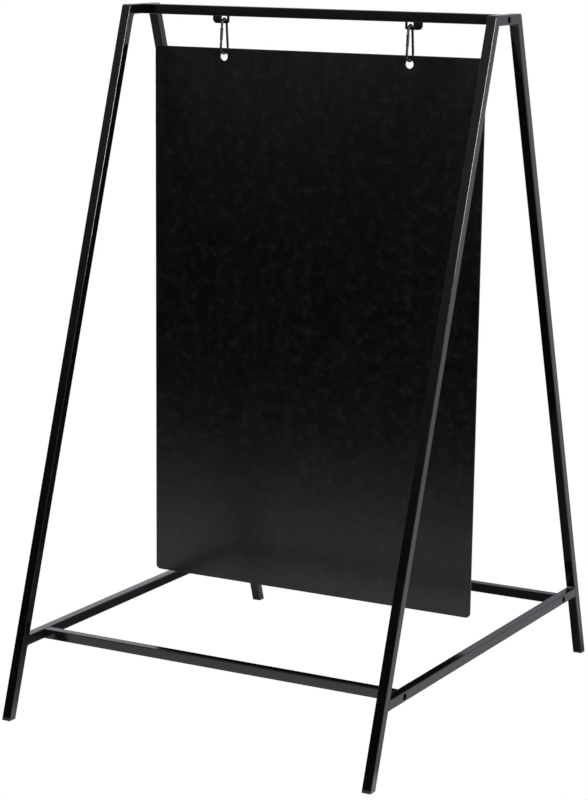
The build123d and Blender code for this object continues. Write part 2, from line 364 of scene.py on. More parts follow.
# ---------------------------------------------------------------- finishes
@dataclass(frozen=True)
class Finish:
    """One surface finish: its colour, gloss and texture."""

    name: str
    color: tuple[float, float, float]
    roughness: float
    metallic: float = 0.0
    ior: float = 1.5
    coat: float = 0.0
    coat_roughness: float = 0.1
    cloud_color: tuple[float, float, float] | None = None
    roughness_swing: float = 0.06
    cells_per_metre: float = 900.0
    unevenness_per_metre: float = 14.0
    bump_depth: float = 0.00002
    bump_strength: float = 0.3
    stretch: tuple[float, float, float] = (1.0, 1.0, 1.0)
    wear: float = 0.0
    wear_color: tuple[float, float, float] = (0.1, 0.1, 0.1)
    specks_per_metre: float = 55.0
    dust: float = 0.0
    # Colour of the dust specks, the smudges and the painted sheen.
    dust_color: tuple[float, float, float] = (0.3, 0.29, 0.27)
    film: float = 0.05
    smudge: float = 0.0
    smudges_per_metre: float = 14.0
    # Share of a painted sheen, a pale highlight painted into the colour that grows between the two
    # heights below.
    haze: float = 0.0
    haze_from: float = 0.6
    haze_to: float = 1.06

    def material(self, groups: SurfaceGroups) -> bpy.types.Material:
        """Builds the finish as a material.

        Args:
            groups: The shared shader groups.

        Returns:
            The material.
        """
        made = bpy.data.materials.new(self.name)
        made.use_nodes = True
        made.node_tree.nodes.clear()
        graph = Graph(made.node_tree)
        place = graph.node("ShaderNodeTexCoord").outputs["Object"]
        placed = graph.node("ShaderNodeMapping", {"Vector": place, "Scale": self.stretch})
        grain = graph.node("ShaderNodeGroup", node_tree=groups.grain)
        graph.tree.links.new(placed.outputs[0], grain.inputs["Position"])
        grain.inputs["Cells per metre"].default_value = self.cells_per_metre
        grain.inputs["Unevenness per metre"].default_value = self.unevenness_per_metre
        cloud = grain.outputs["Cloud"]
        second = self.cloud_color or tuple(1.25 * c for c in self.color)
        color = graph.mix_color(cloud, (*self.color, 1), (*second, 1))
        rough = graph.math("MULTIPLY_ADD", cloud, self.roughness_swing,
                           self.roughness - self.roughness_swing / 2)
        if self.wear > 0:
            edge = graph.node("ShaderNodeAttribute", attribute_name=EDGE_ATTRIBUTE)
            worn = graph.node("ShaderNodeGroup", node_tree=groups.wear)
            graph.tree.links.new(place, worn.inputs["Position"])
            graph.tree.links.new(edge.outputs["Fac"], worn.inputs["Edge"])
            share = graph.math("MULTIPLY", worn.outputs["Wear"], self.wear)
            color = graph.mix_color(share, color, (*self.wear_color, 1))
        if self.dust > 0:
            facing = graph.node("ShaderNodeNewGeometry").outputs["Normal"]
            dusty = graph.node("ShaderNodeGroup", node_tree=groups.dust)
            graph.tree.links.new(place, dusty.inputs["Position"])
            graph.tree.links.new(facing, dusty.inputs["Facing"])
            dusty.inputs["Specks per metre"].default_value = self.specks_per_metre
            dusty.inputs["Film"].default_value = self.film
            share = graph.math("MULTIPLY", dusty.outputs["Dust"], self.dust)
            color = graph.mix_color(share, color, (*self.dust_color, 1))
            rough = graph.math("MULTIPLY_ADD", share, 0.5, rough)
        if self.smudge > 0:
            marks = graph.node("ShaderNodeGroup", node_tree=groups.dust)
            graph.tree.links.new(place, marks.inputs["Position"])
            marks.inputs["Specks per metre"].default_value = self.smudges_per_metre
            marks.inputs["Film"].default_value = 0.0
            share = graph.math("MULTIPLY", marks.outputs["Dust"], self.smudge)
            color = graph.mix_color(share, color, (*self.dust_color, 1))
        # Painted sheen: a pale highlight painted into the colour, lighter towards the top.
        if self.haze > 0:
            sheen_node = graph.node("ShaderNodeGroup", node_tree=groups.haze)
            graph.tree.links.new(place, sheen_node.inputs["Position"])
            sheen_node.inputs["Low"].default_value = self.haze_from
            sheen_node.inputs["High"].default_value = self.haze_to
            share = graph.math("MULTIPLY", sheen_node.outputs["Haze"], self.haze)
            color = graph.mix_color(share, color, (*self.dust_color, 1))
        bump = graph.node("ShaderNodeBump", {
            "Strength": self.bump_strength, "Distance": self.bump_depth,
            "Height": grain.outputs["Height"]})
        shader = graph.node("ShaderNodeBsdfPrincipled", {
            "Base Color": color, "Roughness": rough, "Metallic": self.metallic, "IOR": self.ior,
            "Coat Weight": self.coat, "Coat Roughness": self.coat_roughness,
            "Normal": bump.outputs["Normal"]})
        graph.node("ShaderNodeOutputMaterial", {"Surface": shader.outputs[0]})
        return made


FRAME_COAT = Finish(
    "frame_coat", color=(0.0015, 0.0015, 0.0019), roughness=0.12, cells_per_metre=1300.0,
    bump_depth=0.000012, bump_strength=0.25, roughness_swing=0.08, wear=0.5,
    wear_color=(0.03, 0.03, 0.032), dust=0.1, specks_per_metre=120.0, film=0.02)
CAP_PLASTIC = Finish(
    "cap_plastic", color=(0.014, 0.014, 0.015), roughness=0.42, cells_per_metre=2200.0,
    bump_depth=0.00002, bump_strength=0.4, wear=0.7, wear_color=(0.07, 0.07, 0.07),
    dust=0.5, specks_per_metre=260.0)
# The sheet's colour also carries a painted sheen, a pale painted highlight that lightens it
# towards the top.
SHEET_FACE = Finish(
    "panel_sheet", color=(0.0007, 0.0007, 0.0009), roughness=0.23, ior=1.45,
    cloud_color=(0.0011, 0.0011, 0.0013), unevenness_per_metre=22.0, cells_per_metre=1600.0,
    bump_depth=0.00001, bump_strength=0.25, roughness_swing=0.03, wear=0.5,
    wear_color=(0.05, 0.05, 0.052), dust=0.09, specks_per_metre=42.0, film=0.1, smudge=0.003,
    smudges_per_metre=11.0, haze=0.022)
HOOK_STEEL = Finish(
    "hook_steel", color=(0.05, 0.05, 0.053), roughness=0.3, metallic=0.7,
    cloud_color=(0.024, 0.024, 0.026), cells_per_metre=2600.0, unevenness_per_metre=190.0,
    bump_depth=0.00002, bump_strength=0.3, roughness_swing=0.16, wear=0.5,
    wear_color=(0.3, 0.3, 0.3))
ZINC_STEEL = Finish(
    "zinc_steel", color=(0.55, 0.55, 0.56), roughness=0.38, metallic=1.0,
    cells_per_metre=1800.0, unevenness_per_metre=120.0, stretch=(0.1, 1.0, 1.0))
BLACK_OXIDE = Finish(
    "bolt_steel", color=(0.035, 0.035, 0.037), roughness=0.36, metallic=0.8,
    cells_per_metre=2400.0, unevenness_per_metre=300.0, wear=0.6, wear_color=(0.2, 0.2, 0.2))
SPRING_STEEL = Finish(
    "spring_steel", color=(0.6, 0.6, 0.6), roughness=0.24, metallic=1.0,
    cells_per_metre=5200.0, unevenness_per_metre=700.0)
FINISHES = (FRAME_COAT, CAP_PLASTIC, SHEET_FACE, HOOK_STEEL, ZINC_STEEL, BLACK_OXIDE, SPRING_STEEL)


# ---------------------------------------------------------------- mesh tools
def new_piece(name: str, mesh: bpy.types.Mesh) -> bpy.types.Object:
    """Links a mesh to the scene as an object at the origin.

    Args:
        name: The piece's name.
        mesh: Its mesh, already in place.

    Returns:
        The object.
    """
    made = bpy.data.objects.new(name, mesh)
    bpy.context.scene.collection.objects.link(made)
    return made


def as_piece(name: str, shape: bmesh.types.BMesh) -> bpy.types.Object:
    """Writes an edit mesh to a new piece and frees it.

    Args:
        name: The piece's name.
        shape: Its edit mesh, already in place.

    Returns:
        The piece.
    """
    mesh = bpy.data.meshes.new(name)
    shape.to_mesh(mesh)
    shape.free()
    return new_piece(name, mesh)


def settle(piece: bpy.types.Object, helpers: Iterable[bpy.types.Object] = ()) -> bpy.types.Object:
    """Turns a piece's modifiers into its plain mesh, and removes the helper objects.

    Args:
        piece: The piece.
        helpers: Objects that only its modifiers used.

    Returns:
        The piece.
    """
    graph = bpy.context.evaluated_depsgraph_get()
    result = bpy.data.meshes.new_from_object(
        piece.evaluated_get(graph), preserve_all_data_layers=True, depsgraph=graph)
    result.name = piece.name
    piece.modifiers.clear()
    piece.data = result
    for helper in helpers:
        bpy.data.objects.remove(helper, do_unlink=True)
    return piece


def smooth_rounds(piece: bpy.types.Object, sharp_above: float = 40.0) -> bpy.types.Object:
    """Shades the rounded edges smoothly and keeps the flat faces flat.

    Args:
        piece: The piece.
        sharp_above: Edges that turn more than this many degrees stay sharp.

    Returns:
        The piece.
    """
    piece.data.polygons.foreach_set("use_smooth", [True] * len(piece.data.polygons))
    piece.data.set_sharp_from_angle(angle=math.radians(sharp_above))
    weighted = piece.modifiers.new("flat faces", "WEIGHTED_NORMAL")
    weighted.keep_sharp = True
    weighted.weight = 90
    return settle(piece)


def cut(piece: bpy.types.Object, cutters: Sequence[bpy.types.Object]) -> bpy.types.Object:
    """Cuts shapes out of a piece and removes the cutters.

    Args:
        piece: The piece.
        cutters: Closed meshes to take away.

    Returns:
        The piece.
    """
    for cutter in cutters:
        taken = piece.modifiers.new("cut", "BOOLEAN")
        taken.operation = "DIFFERENCE"
        taken.solver = "EXACT"
        taken.object = cutter
    return settle(piece, cutters)


def cylinder(start: Vector, end: Vector, radius: float, segments: int = 40) -> bpy.types.Object:
    """Round bar between two points, used as a cutter or as part of a piece.

    Args:
        start: The middle of one end.
        end: The middle of the other end.
        radius: The bar's radius.
        segments: Sides of the bar.

    Returns:
        The bar.
    """
    shape = bmesh.new()
    bmesh.ops.create_cone(shape, cap_ends=True, segments=segments, radius1=radius,
                          radius2=radius, depth=(end - start).length)
    turn = (end - start).to_track_quat("Z", "Y").to_matrix().to_4x4()
    bmesh.ops.transform(shape, matrix=Matrix.Translation((start + end) / 2) @ turn,
                        verts=shape.verts)
    return as_piece("bar", shape)


def joined(name: str, pieces: Sequence[bpy.types.Object]) -> bpy.types.Object:
    """Joins pieces into one object and keeps their shading.

    Args:
        name: The joined piece's name.
        pieces: What to join.

    Returns:
        The joined piece.
    """
    with bpy.context.temp_override(active_object=pieces[0], object=pieces[0],
                                   selected_objects=list(pieces),
                                   selected_editable_objects=list(pieces)):
        bpy.ops.object.join()
    pieces[0].name = name
    pieces[0].data.name = name
    return pieces[0]


def turned(name: str, outline: Sequence[tuple[float, float]], place: Matrix,
           segments: int = 32) -> bpy.types.Object:
    """Turns an outline round its axis into a closed shape.

    Args:
        name: The piece's name.
        outline: Radius and distance along Z, from one end of the axis to the other.
        place: Where the shape goes.
        segments: Steps of a full turn.

    Returns:
        The piece.
    """
    shape = bmesh.new()
    rings = []
    for radius, along in outline:
        if radius < MERGE_DISTANCE:
            rings.append([shape.verts.new(place @ Vector((0, 0, along)))])
            continue
        ring = []
        for step in range(segments):
            angle = 2 * math.pi * step / segments
            point = Vector((radius * math.cos(angle), radius * math.sin(angle), along))
            ring.append(shape.verts.new(place @ point))
        rings.append(ring)
    for low, high in zip(rings, rings[1:]):
        for step in range(segments):
            after = (step + 1) % segments
            corners = [low[step % len(low)], low[after % len(low)],
                       high[after % len(high)], high[step % len(high)]]
            unique = list(dict.fromkeys(corners))
            shape.faces.new(unique)
    bmesh.ops.recalc_face_normals(shape, faces=shape.faces)
    return as_piece(name, shape)


def rounded_corners(points: Sequence[tuple[float, float]], radii: Sequence[float],
                    segments: int = 8) -> list[tuple[float, float]]:
    """Rounds the corners of a flat outline.

    Args:
        points: The outline's corners, anticlockwise.
        radii: One radius for each corner.
        segments: Steps of each round.

    Returns:
        The rounded outline.
    """
    result = []
    for index, radius in enumerate(radii):
        here = Vector(points[index])
        back = (Vector(points[index - 1]) - here).normalized()
        ahead = (Vector(points[(index + 1) % len(points)]) - here).normalized()
        if radius < MERGE_DISTANCE:
            result.append(tuple(here))
            continue
        half = back.angle(ahead) / 2
        centre = here + (back + ahead).normalized() * (radius / math.sin(half))
        first = here + back * (radius / math.tan(half)) - centre
        last = here + ahead * (radius / math.tan(half)) - centre
        sweep = first.angle_signed(last)
        for step in range(segments + 1):
            turn = Matrix.Rotation(-sweep * step / segments, 2)
            result.append(tuple(centre + turn @ first))
    return result


def slab(name: str, outline: Sequence[tuple[float, float]],
         holes: Sequence[Sequence[tuple[float, float]]], thickness: float,
         bevel: float, place: Matrix) -> bpy.types.Object:
    """Flat plate with eased edges, from outlines in its own X and Z.

    Args:
        name: The piece's name.
        outline: The outer outline, anticlockwise.
        holes: The outlines of its holes, anticlockwise.
        thickness: The plate's thickness, along its own Y.
        bevel: How much each edge is eased.
        place: Where the plate goes.

    Returns:
        The piece.
    """
    shape = bmesh.new()
    mark = shape.verts.layers.float.new(EDGE_ATTRIBUTE)
    half = thickness / 2
    part = bevel * BEVEL_SHARE
    steps = [(-half, bevel, 0.3), (-half + part, part, 1.0), (-half + bevel, 0.0, 0.6),
             (half - bevel, 0.0, 0.6), (half - part, part, 1.0), (half, bevel, 0.3)]
    caps = {0: [], len(steps) - 1: []}
    for loop, sign in [(outline, 1)] + [(hole, -1) for hole in holes]:
        flat = [Vector(p) for p in loop]
        count = len(flat)
        inward = []
        for i, point in enumerate(flat):
            along = (flat[(i + 1) % count] - flat[i - 1]).normalized()
            inward.append(Vector((-along.y, along.x)) * sign)
        rings = []
        for y, shrink, edge in steps:
            ring = []
            for point, direction in zip(flat, inward):
                spot = point + direction * shrink
                vert = shape.verts.new(place @ Vector((spot.x, y, spot.y)))
                vert[mark] = edge
                ring.append(vert)
            rings.append(ring)
        for low, high in zip(rings, rings[1:]):
            for i in range(count):
                after = (i + 1) % count
                shape.faces.new([low[i], low[after], high[after], high[i]])
        for level in caps:
            ring = rings[level]
            caps[level] += [shape.edges.get([ring[i], ring[(i + 1) % count]])
                            for i in range(count)]
    for edges in caps.values():
        bmesh.ops.triangle_fill(shape, edges=edges, use_beauty=True, use_dissolve=False)
    bmesh.ops.recalc_face_normals(shape, faces=shape.faces)
    return as_piece(name, shape)


def circle_points(x: float, z: float, radius: float, segments: int) -> list[tuple[float, float]]:
    """Points of a circle, anticlockwise.

    Args:
        x: Centre across.
        z: Centre up.
        radius: The circle's radius.
        segments: Number of points.

    Returns:
        The points.
    """
    steps = [2 * math.pi * i / segments for i in range(segments)]
    return [(x + radius * math.cos(a), z + radius * math.sin(a)) for a in steps]


# ---------------------------------------------------------------- square tube
@dataclass(frozen=True)
class TubeStock:
    """Square tube, as it comes from stock."""

    size: float = 0.016
    wall: float = 0.0012
    corner: float = 0.0015
    inner_corner: float = 0.0003
    segments: int = 6

    def section(self, inset: float) -> list[tuple[float, float, float]]:
        """Points round the section, anticlockwise.

        Args:
            inset: Distance inside the outer faces.

        Returns:
            Two coordinates and an edge mark for each point.
        """
        half = self.size / 2 - inset
        radius = max(self.corner - inset, self.inner_corner)
        points = []
        for quarter in range(4):
            start = math.pi / 2 * quarter
            across = math.copysign(half - radius, math.cos(start + math.pi / 4))
            up = math.copysign(half - radius, math.sin(start + math.pi / 4))
            for step in range(self.segments + 1):
                share = step / self.segments
                angle = start + math.pi / 2 * share
                points.append((across + radius * math.cos(angle), up + radius * math.sin(angle),
                               math.sin(math.pi * share)))
        return points

    def tube(self, name: str, stations: Sequence[Station], wall: float | None = None,
             inset: float = 0.0) -> bpy.types.Object:
        """Hollow tube through a row of stations, closed at both ends.

        Args:
            name: The piece's name.
            stations: Each maps a point of the section to its place.
            wall: Wall thickness, or None for this stock's own.
            inset: Distance inside this stock's outer faces.

        Returns:
            The piece.
        """
        outer = self.section(inset)
        inner = self.section(inset + (self.wall if wall is None else wall))
        shape = bmesh.new()
        mark = shape.verts.layers.float.new(EDGE_ATTRIBUTE)
        known: dict[tuple, bmesh.types.BMVert] = {}

        def vertex(station: Station, point: tuple[float, float, float],
                   skin: int) -> bmesh.types.BMVert:
            """Vertex at one point of a station, made once.

            Args:
                station: Where the section stands.
                point: The section's point and its edge mark.
                skin: 0 for the outer skin, 1 for the inner.

            Returns:
                The vertex.
            """
            spot = station(point[0], point[1])
            key = (skin, *(round(c / MERGE_DISTANCE) for c in spot))
            if key not in known:
                known[key] = shape.verts.new(spot)
                known[key][mark] = point[2] if skin == 0 else 0.0
            return known[key]

        def face(corners: Sequence[bmesh.types.BMVert]) -> None:
            """Face through the corners that differ, if it has at least three.

            Args:
                corners: The corners in order.
            """
            unique = list(dict.fromkeys(corners))
            if len(unique) > 2 and shape.faces.get(unique) is None:
                shape.faces.new(unique)

        skins = [[[vertex(s, p, skin) for p in points] for s in stations]
                 for skin, points in enumerate((outer, inner))]
        count = len(outer)
        for rings in skins:
            for low, high in zip(rings, rings[1:]):
                for i in range(count):
                    after = (i + 1) % count
                    face([low[i], low[after], high[after], high[i]])
        for end in (0, -1):
            for i in range(count):
                after = (i + 1) % count
                face([skins[0][end][i], skins[0][end][after],
                      skins[1][end][after], skins[1][end][i]])
        bmesh.ops.recalc_face_normals(shape, faces=shape.faces)
        return as_piece(name, shape)


# ---------------------------------------------------------------- geometry node trees
class PathTrees:
    """The Geometry Nodes trees for what repeats or follows a path."""

    def __init__(self) -> None:
        """Builds each tree once."""
        self.identifiers: dict[str, dict[str, str]] = {}
        self.bead = self._bead()
        self.wire = self._wire()
        self.coil = self._coil()
        self.fasteners = self._fasteners()

    def _start(self, name: str, sockets: Sequence[Socket]) -> tuple[Graph, dict, bpy.types.Node]:
        """Starts a tree.

        Args:
            name: The tree's name.
            sockets: Its inputs after the geometry.

        Returns:
            The graph, the inputs by name, and the output node.
        """
        tree = bpy.data.node_groups.new(name, "GeometryNodeTree")
        Socket("Geometry", GEOMETRY).declare(tree)
        Socket("Geometry", GEOMETRY, goes_in=False).declare(tree)
        self.identifiers[name] = {s.name: s.declare(tree) for s in sockets}
        graph = Graph(tree)
        inputs = {s.name: s for s in graph.node("NodeGroupInput").outputs if s.name}
        return graph, inputs, graph.node("NodeGroupOutput")

    @staticmethod
    def _end(graph: Graph, shape: bpy.types.NodeSocket, material: bpy.types.NodeSocket,
             out: bpy.types.Node) -> bpy.types.NodeTree:
        """Ends a tree with real geometry that has its material.

        Args:
            graph: The tree's graph.
            shape: The geometry so far.
            material: The material's socket.
            out: The output node.

        Returns:
            The finished tree.
        """
        real = graph.node("GeometryNodeRealizeInstances", {"Geometry": shape})
        dressed = graph.node("GeometryNodeSetMaterial", {
            "Geometry": real.outputs[0], "Material": material})
        graph.tree.links.new(dressed.outputs[0], out.inputs[0])
        return graph.tree

    def _bead(self) -> bpy.types.NodeTree:
        """Weld bead along each edge of the mesh, with overlapping ripples and tapered ends.

        Returns:
            The tree.
        """
        graph, given, out = self._start("weld_bead", [
            Socket("Radius", FLOAT, 0.002), Socket("Ripple pitch", FLOAT, 0.0012),
            Socket("Ripple depth", FLOAT, 0.1), Socket("Taper", FLOAT, 0.25),
            Socket("Material", MATERIAL)])
        path = graph.node("GeometryNodeMeshToCurve", {"Mesh": given["Geometry"]})
        step = graph.math("DIVIDE", given["Ripple pitch"], 6.0)
        fine = graph.node("GeometryNodeResampleCurve", {
            "Curve": path.outputs[0], "Length": step}, mode="LENGTH")
        spline = graph.node("GeometryNodeSplineParameter")
        turns = graph.math("DIVIDE", spline.outputs["Length"], given["Ripple pitch"])
        wave = graph.math("SINE", graph.math("MULTIPLY", turns, 2 * math.pi))
        ripple = graph.math("MULTIPLY_ADD", wave, given["Ripple depth"], 1.0)
        uneven = graph.node("ShaderNodeTexNoise", {"Scale": 260.0, "Detail": 2.0})
        swell = graph.math("MULTIPLY_ADD", uneven.outputs[0], 0.3, 0.85)
        from_end = graph.math("MINIMUM", spline.outputs["Factor"],
                              graph.math("SUBTRACT", 1.0, spline.outputs["Factor"]))
        taper = graph.math("ADD", graph.math("MULTIPLY", graph.remap(
            from_end, 0.0, 0.06), given["Taper"]), graph.math("SUBTRACT", 1.0, given["Taper"]))
        scale = graph.math("MULTIPLY", graph.math("MULTIPLY", ripple, swell), taper)
        ring = graph.node("GeometryNodeCurvePrimitiveCircle", {
            "Resolution": 14, "Radius": given["Radius"]})
        swept = graph.node("GeometryNodeCurveToMesh", {
            "Curve": fine.outputs[0], "Profile Curve": ring.outputs[0], "Scale": scale,
            "Fill Caps": True})
        return self._end(graph, swept.outputs[0], given["Material"], out)

    def _wire(self) -> bpy.types.NodeTree:
        """Round wire along each line of the mesh, with eased ends.

        Returns:
            The tree.
        """
        graph, given, out = self._start("bent_wire", [
            Socket("Radius", FLOAT, 0.002), Socket("Sides", "NodeSocketInt", 24),
            Socket("Eased ends", FLOAT, 0.0006), Socket("Material", MATERIAL)])
        path = graph.node("GeometryNodeMeshToCurve", {"Mesh": given["Geometry"]})
        fine = graph.node("GeometryNodeResampleCurve", {
            "Curve": path.outputs[0], "Length": 0.0004}, mode="LENGTH")
        spline = graph.node("GeometryNodeSplineParameter")
        whole = graph.node("GeometryNodeSplineLength").outputs["Length"]
        from_end = graph.math("MINIMUM", spline.outputs["Length"],
                              graph.math("SUBTRACT", whole, spline.outputs["Length"]))
        ease = graph.math("MINIMUM", graph.math("DIVIDE", from_end, given["Eased ends"]), 1.0)
        scale = graph.math("MULTIPLY_ADD", ease, 0.2, 0.8)
        ring = graph.node("GeometryNodeCurvePrimitiveCircle", {
            "Resolution": given["Sides"], "Radius": given["Radius"]})
        swept = graph.node("GeometryNodeCurveToMesh", {
            "Curve": fine.outputs[0], "Profile Curve": ring.outputs[0], "Scale": scale,
            "Fill Caps": True})
        return self._end(graph, swept.outputs[0], given["Material"], out)

    def _coil(self) -> bpy.types.NodeTree:
        """Coil spring at each point of the mesh, along the point's outward direction.

        Returns:
            The tree.
        """
        graph, given, out = self._start("coil_spring", [
            Socket("Turns", FLOAT, 9.0), Socket("Coil radius", FLOAT, 0.0007),
            Socket("Wire radius", FLOAT, 0.00015), Socket("Length", FLOAT, 0.006),
            Socket("Material", MATERIAL)])
        spiral = graph.node("GeometryNodeCurveSpiral", {
            "Resolution": 18, "Rotations": given["Turns"], "Start Radius": given["Coil radius"],
            "End Radius": given["Coil radius"], "Height": given["Length"]})
        ring = graph.node("GeometryNodeCurvePrimitiveCircle", {
            "Resolution": 8, "Radius": given["Wire radius"]})
        swept = graph.node("GeometryNodeCurveToMesh", {
            "Curve": spiral.outputs[0], "Profile Curve": ring.outputs[0], "Fill Caps": True})
        placed = self._placed(graph, given["Geometry"], swept.outputs[0])
        return self._end(graph, placed, given["Material"], out)

    def _fasteners(self) -> bpy.types.NodeTree:
        """A copy of one fastener at each point, turned to the point's outward direction.

        Returns:
            The tree.
        """
        graph, given, out = self._start("fasteners", [
            Socket("Fastener", "NodeSocketObject"), Socket("Material", MATERIAL)])
        model = graph.node("GeometryNodeObjectInfo", {"Object": given["Fastener"]})
        placed = self._placed(graph, given["Geometry"], model.outputs["Geometry"])
        return self._end(graph, placed, given["Material"], out)

    @staticmethod
    def _placed(graph: Graph, points: bpy.types.NodeSocket,
                model: bpy.types.NodeSocket) -> bpy.types.NodeSocket:
        """Instances of a model at points, with Z along each point's outward direction.

        Args:
            graph: The tree's graph.
            points: The points.
            model: The geometry to copy.

        Returns:
            The instances.
        """
        outward = graph.node("GeometryNodeInputNamedAttribute", {"Name": OUT_ATTRIBUTE},
                             data_type="FLOAT_VECTOR")
        turn = graph.node("FunctionNodeAlignRotationToVector", {
            "Vector": outward.outputs["Attribute"]}, axis="Z")
        copies = graph.node("GeometryNodeInstanceOnPoints", {
            "Points": points, "Instance": model, "Rotation": turn.outputs[0]})
        return copies.outputs[0]

    def make(self, name: str, tree: bpy.types.NodeTree, base: bpy.types.Mesh,
             values: dict[str, object], helpers: Iterable[bpy.types.Object] = (),
             ) -> bpy.types.Object:
        """Runs a tree on a base mesh and keeps the result as a plain mesh.

        Args:
            name: The piece's name.
            tree: The tree to run.
            base: Lines or points, in place.
            values: Input name to value.
            helpers: Objects that only the tree uses.

        Returns:
            The piece.
        """
        piece = new_piece(name, base)
        modifier = piece.modifiers.new("build", "NODES")
        modifier.node_group = tree
        for key, value in values.items():
            modifier[self.identifiers[tree.name][key]] = value
        return settle(piece, helpers)


def line_mesh(name: str, lines: Sequence[Sequence[Vector]]) -> bpy.types.Mesh:
    """Mesh of open lines, for a tree to follow.

    Args:
        name: The mesh's name.
        lines: The points of each line.

    Returns:
        The mesh.
    """
    points, edges = [], []
    for line in lines:
        first = len(points)
        points += [tuple(p) for p in line]
        edges += [(i, i + 1) for i in range(first, len(points) - 1)]
    mesh = bpy.data.meshes.new(name)
    mesh.from_pydata(points, edges, [])
    return mesh


def point_mesh(name: str, places: Sequence[tuple[Vector, Vector]]) -> bpy.types.Mesh:
    """Mesh of loose points with an outward direction each.

    Args:
        name: The mesh's name.
        places: The position and direction of each point.

    Returns:
        The mesh.
    """
    mesh = bpy.data.meshes.new(name)
    mesh.from_pydata([tuple(p) for p, _ in places], [], [])
    outward = mesh.attributes.new(OUT_ATTRIBUTE, "FLOAT_VECTOR", "POINT")
    for item, (_, direction) in zip(outward.data, places):
        item.vector = direction
    return mesh


# ---------------------------------------------------------------- workshop
@dataclass
class Workshop:
    """What every sub-assembly needs: the frame, the materials and the trees."""

    nodes: dict[str, bpy.types.Object]
    materials: dict[str, bpy.types.Material]
    trees: PathTrees
    made: list[str] = field(default_factory=list)

    def dress(self, piece: bpy.types.Object, slot: str) -> None:
        """Gives a piece the material of a slot.

        Args:
            piece: The piece.
            slot: The material slot.
        """
        material = self.materials[slot]
        if piece.data.materials:
            for index in range(len(piece.data.materials)):
                piece.data.materials[index] = material
        else:
            piece.data.materials.append(material)

    def deliver(self, piece: bpy.types.Object, body: str, slot: str,
                stands_for: Sequence[str] = ()) -> bpy.types.Object:
        """Dresses a piece and puts it on its body.

        Args:
            piece: The finished piece.
            body: The CAD body that it moves with.
            slot: The material slot of its finish.
            stands_for: CAD nodes that it replaces.

        Returns:
            The piece.
        """
        self.dress(piece, slot)
        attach(piece, body)
        if stands_for:
            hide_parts(*stands_for)
        self.made.append(piece.name)
        LOG.info("%s on %s: %d faces", piece.name, body, len(piece.data.polygons))
        return piece

    def keep(self, node: str, slot: str) -> None:
        """Keeps a CAD node and gives it its finish.

        Args:
            node: The CAD node.
            slot: The material slot of its finish.
        """
        self.dress(self.nodes[node], slot)
        LOG.info("%s kept from the frame", node)


# ---------------------------------------------------------------- the frame's sizes
@dataclass(frozen=True)
class StandSizes:
    """Main sizes of the stand."""

    height: float
    width: float
    floor_depth: float
    rail_z: float
    bar_z: float
    stretcher_y: float
    top_depth: float = 0.094
    top_corner: float = 0.004
    cap_height: float = 0.005

    @classmethod
    def from_frame(cls) -> "StandSizes":
        """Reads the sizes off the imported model.

        Returns:
            The sizes.
        """
        low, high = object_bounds()
        rail_low, rail_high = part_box("top_rail")
        bar_low, bar_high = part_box("left_cross_bar")
        front_low, front_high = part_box("front_stretcher")
        return cls(height=high.z, width=high.x - low.x, floor_depth=high.y - low.y,
                   rail_z=(rail_low.z + rail_high.z) / 2, bar_z=(bar_low.z + bar_high.z) / 2,
                   stretcher_y=-(front_low.y + front_high.y) / 2)

    @property
    def lean(self) -> float:
        """Angle of the legs from upright."""
        return math.atan2((self.floor_depth - self.top_depth) / 2, self.height)


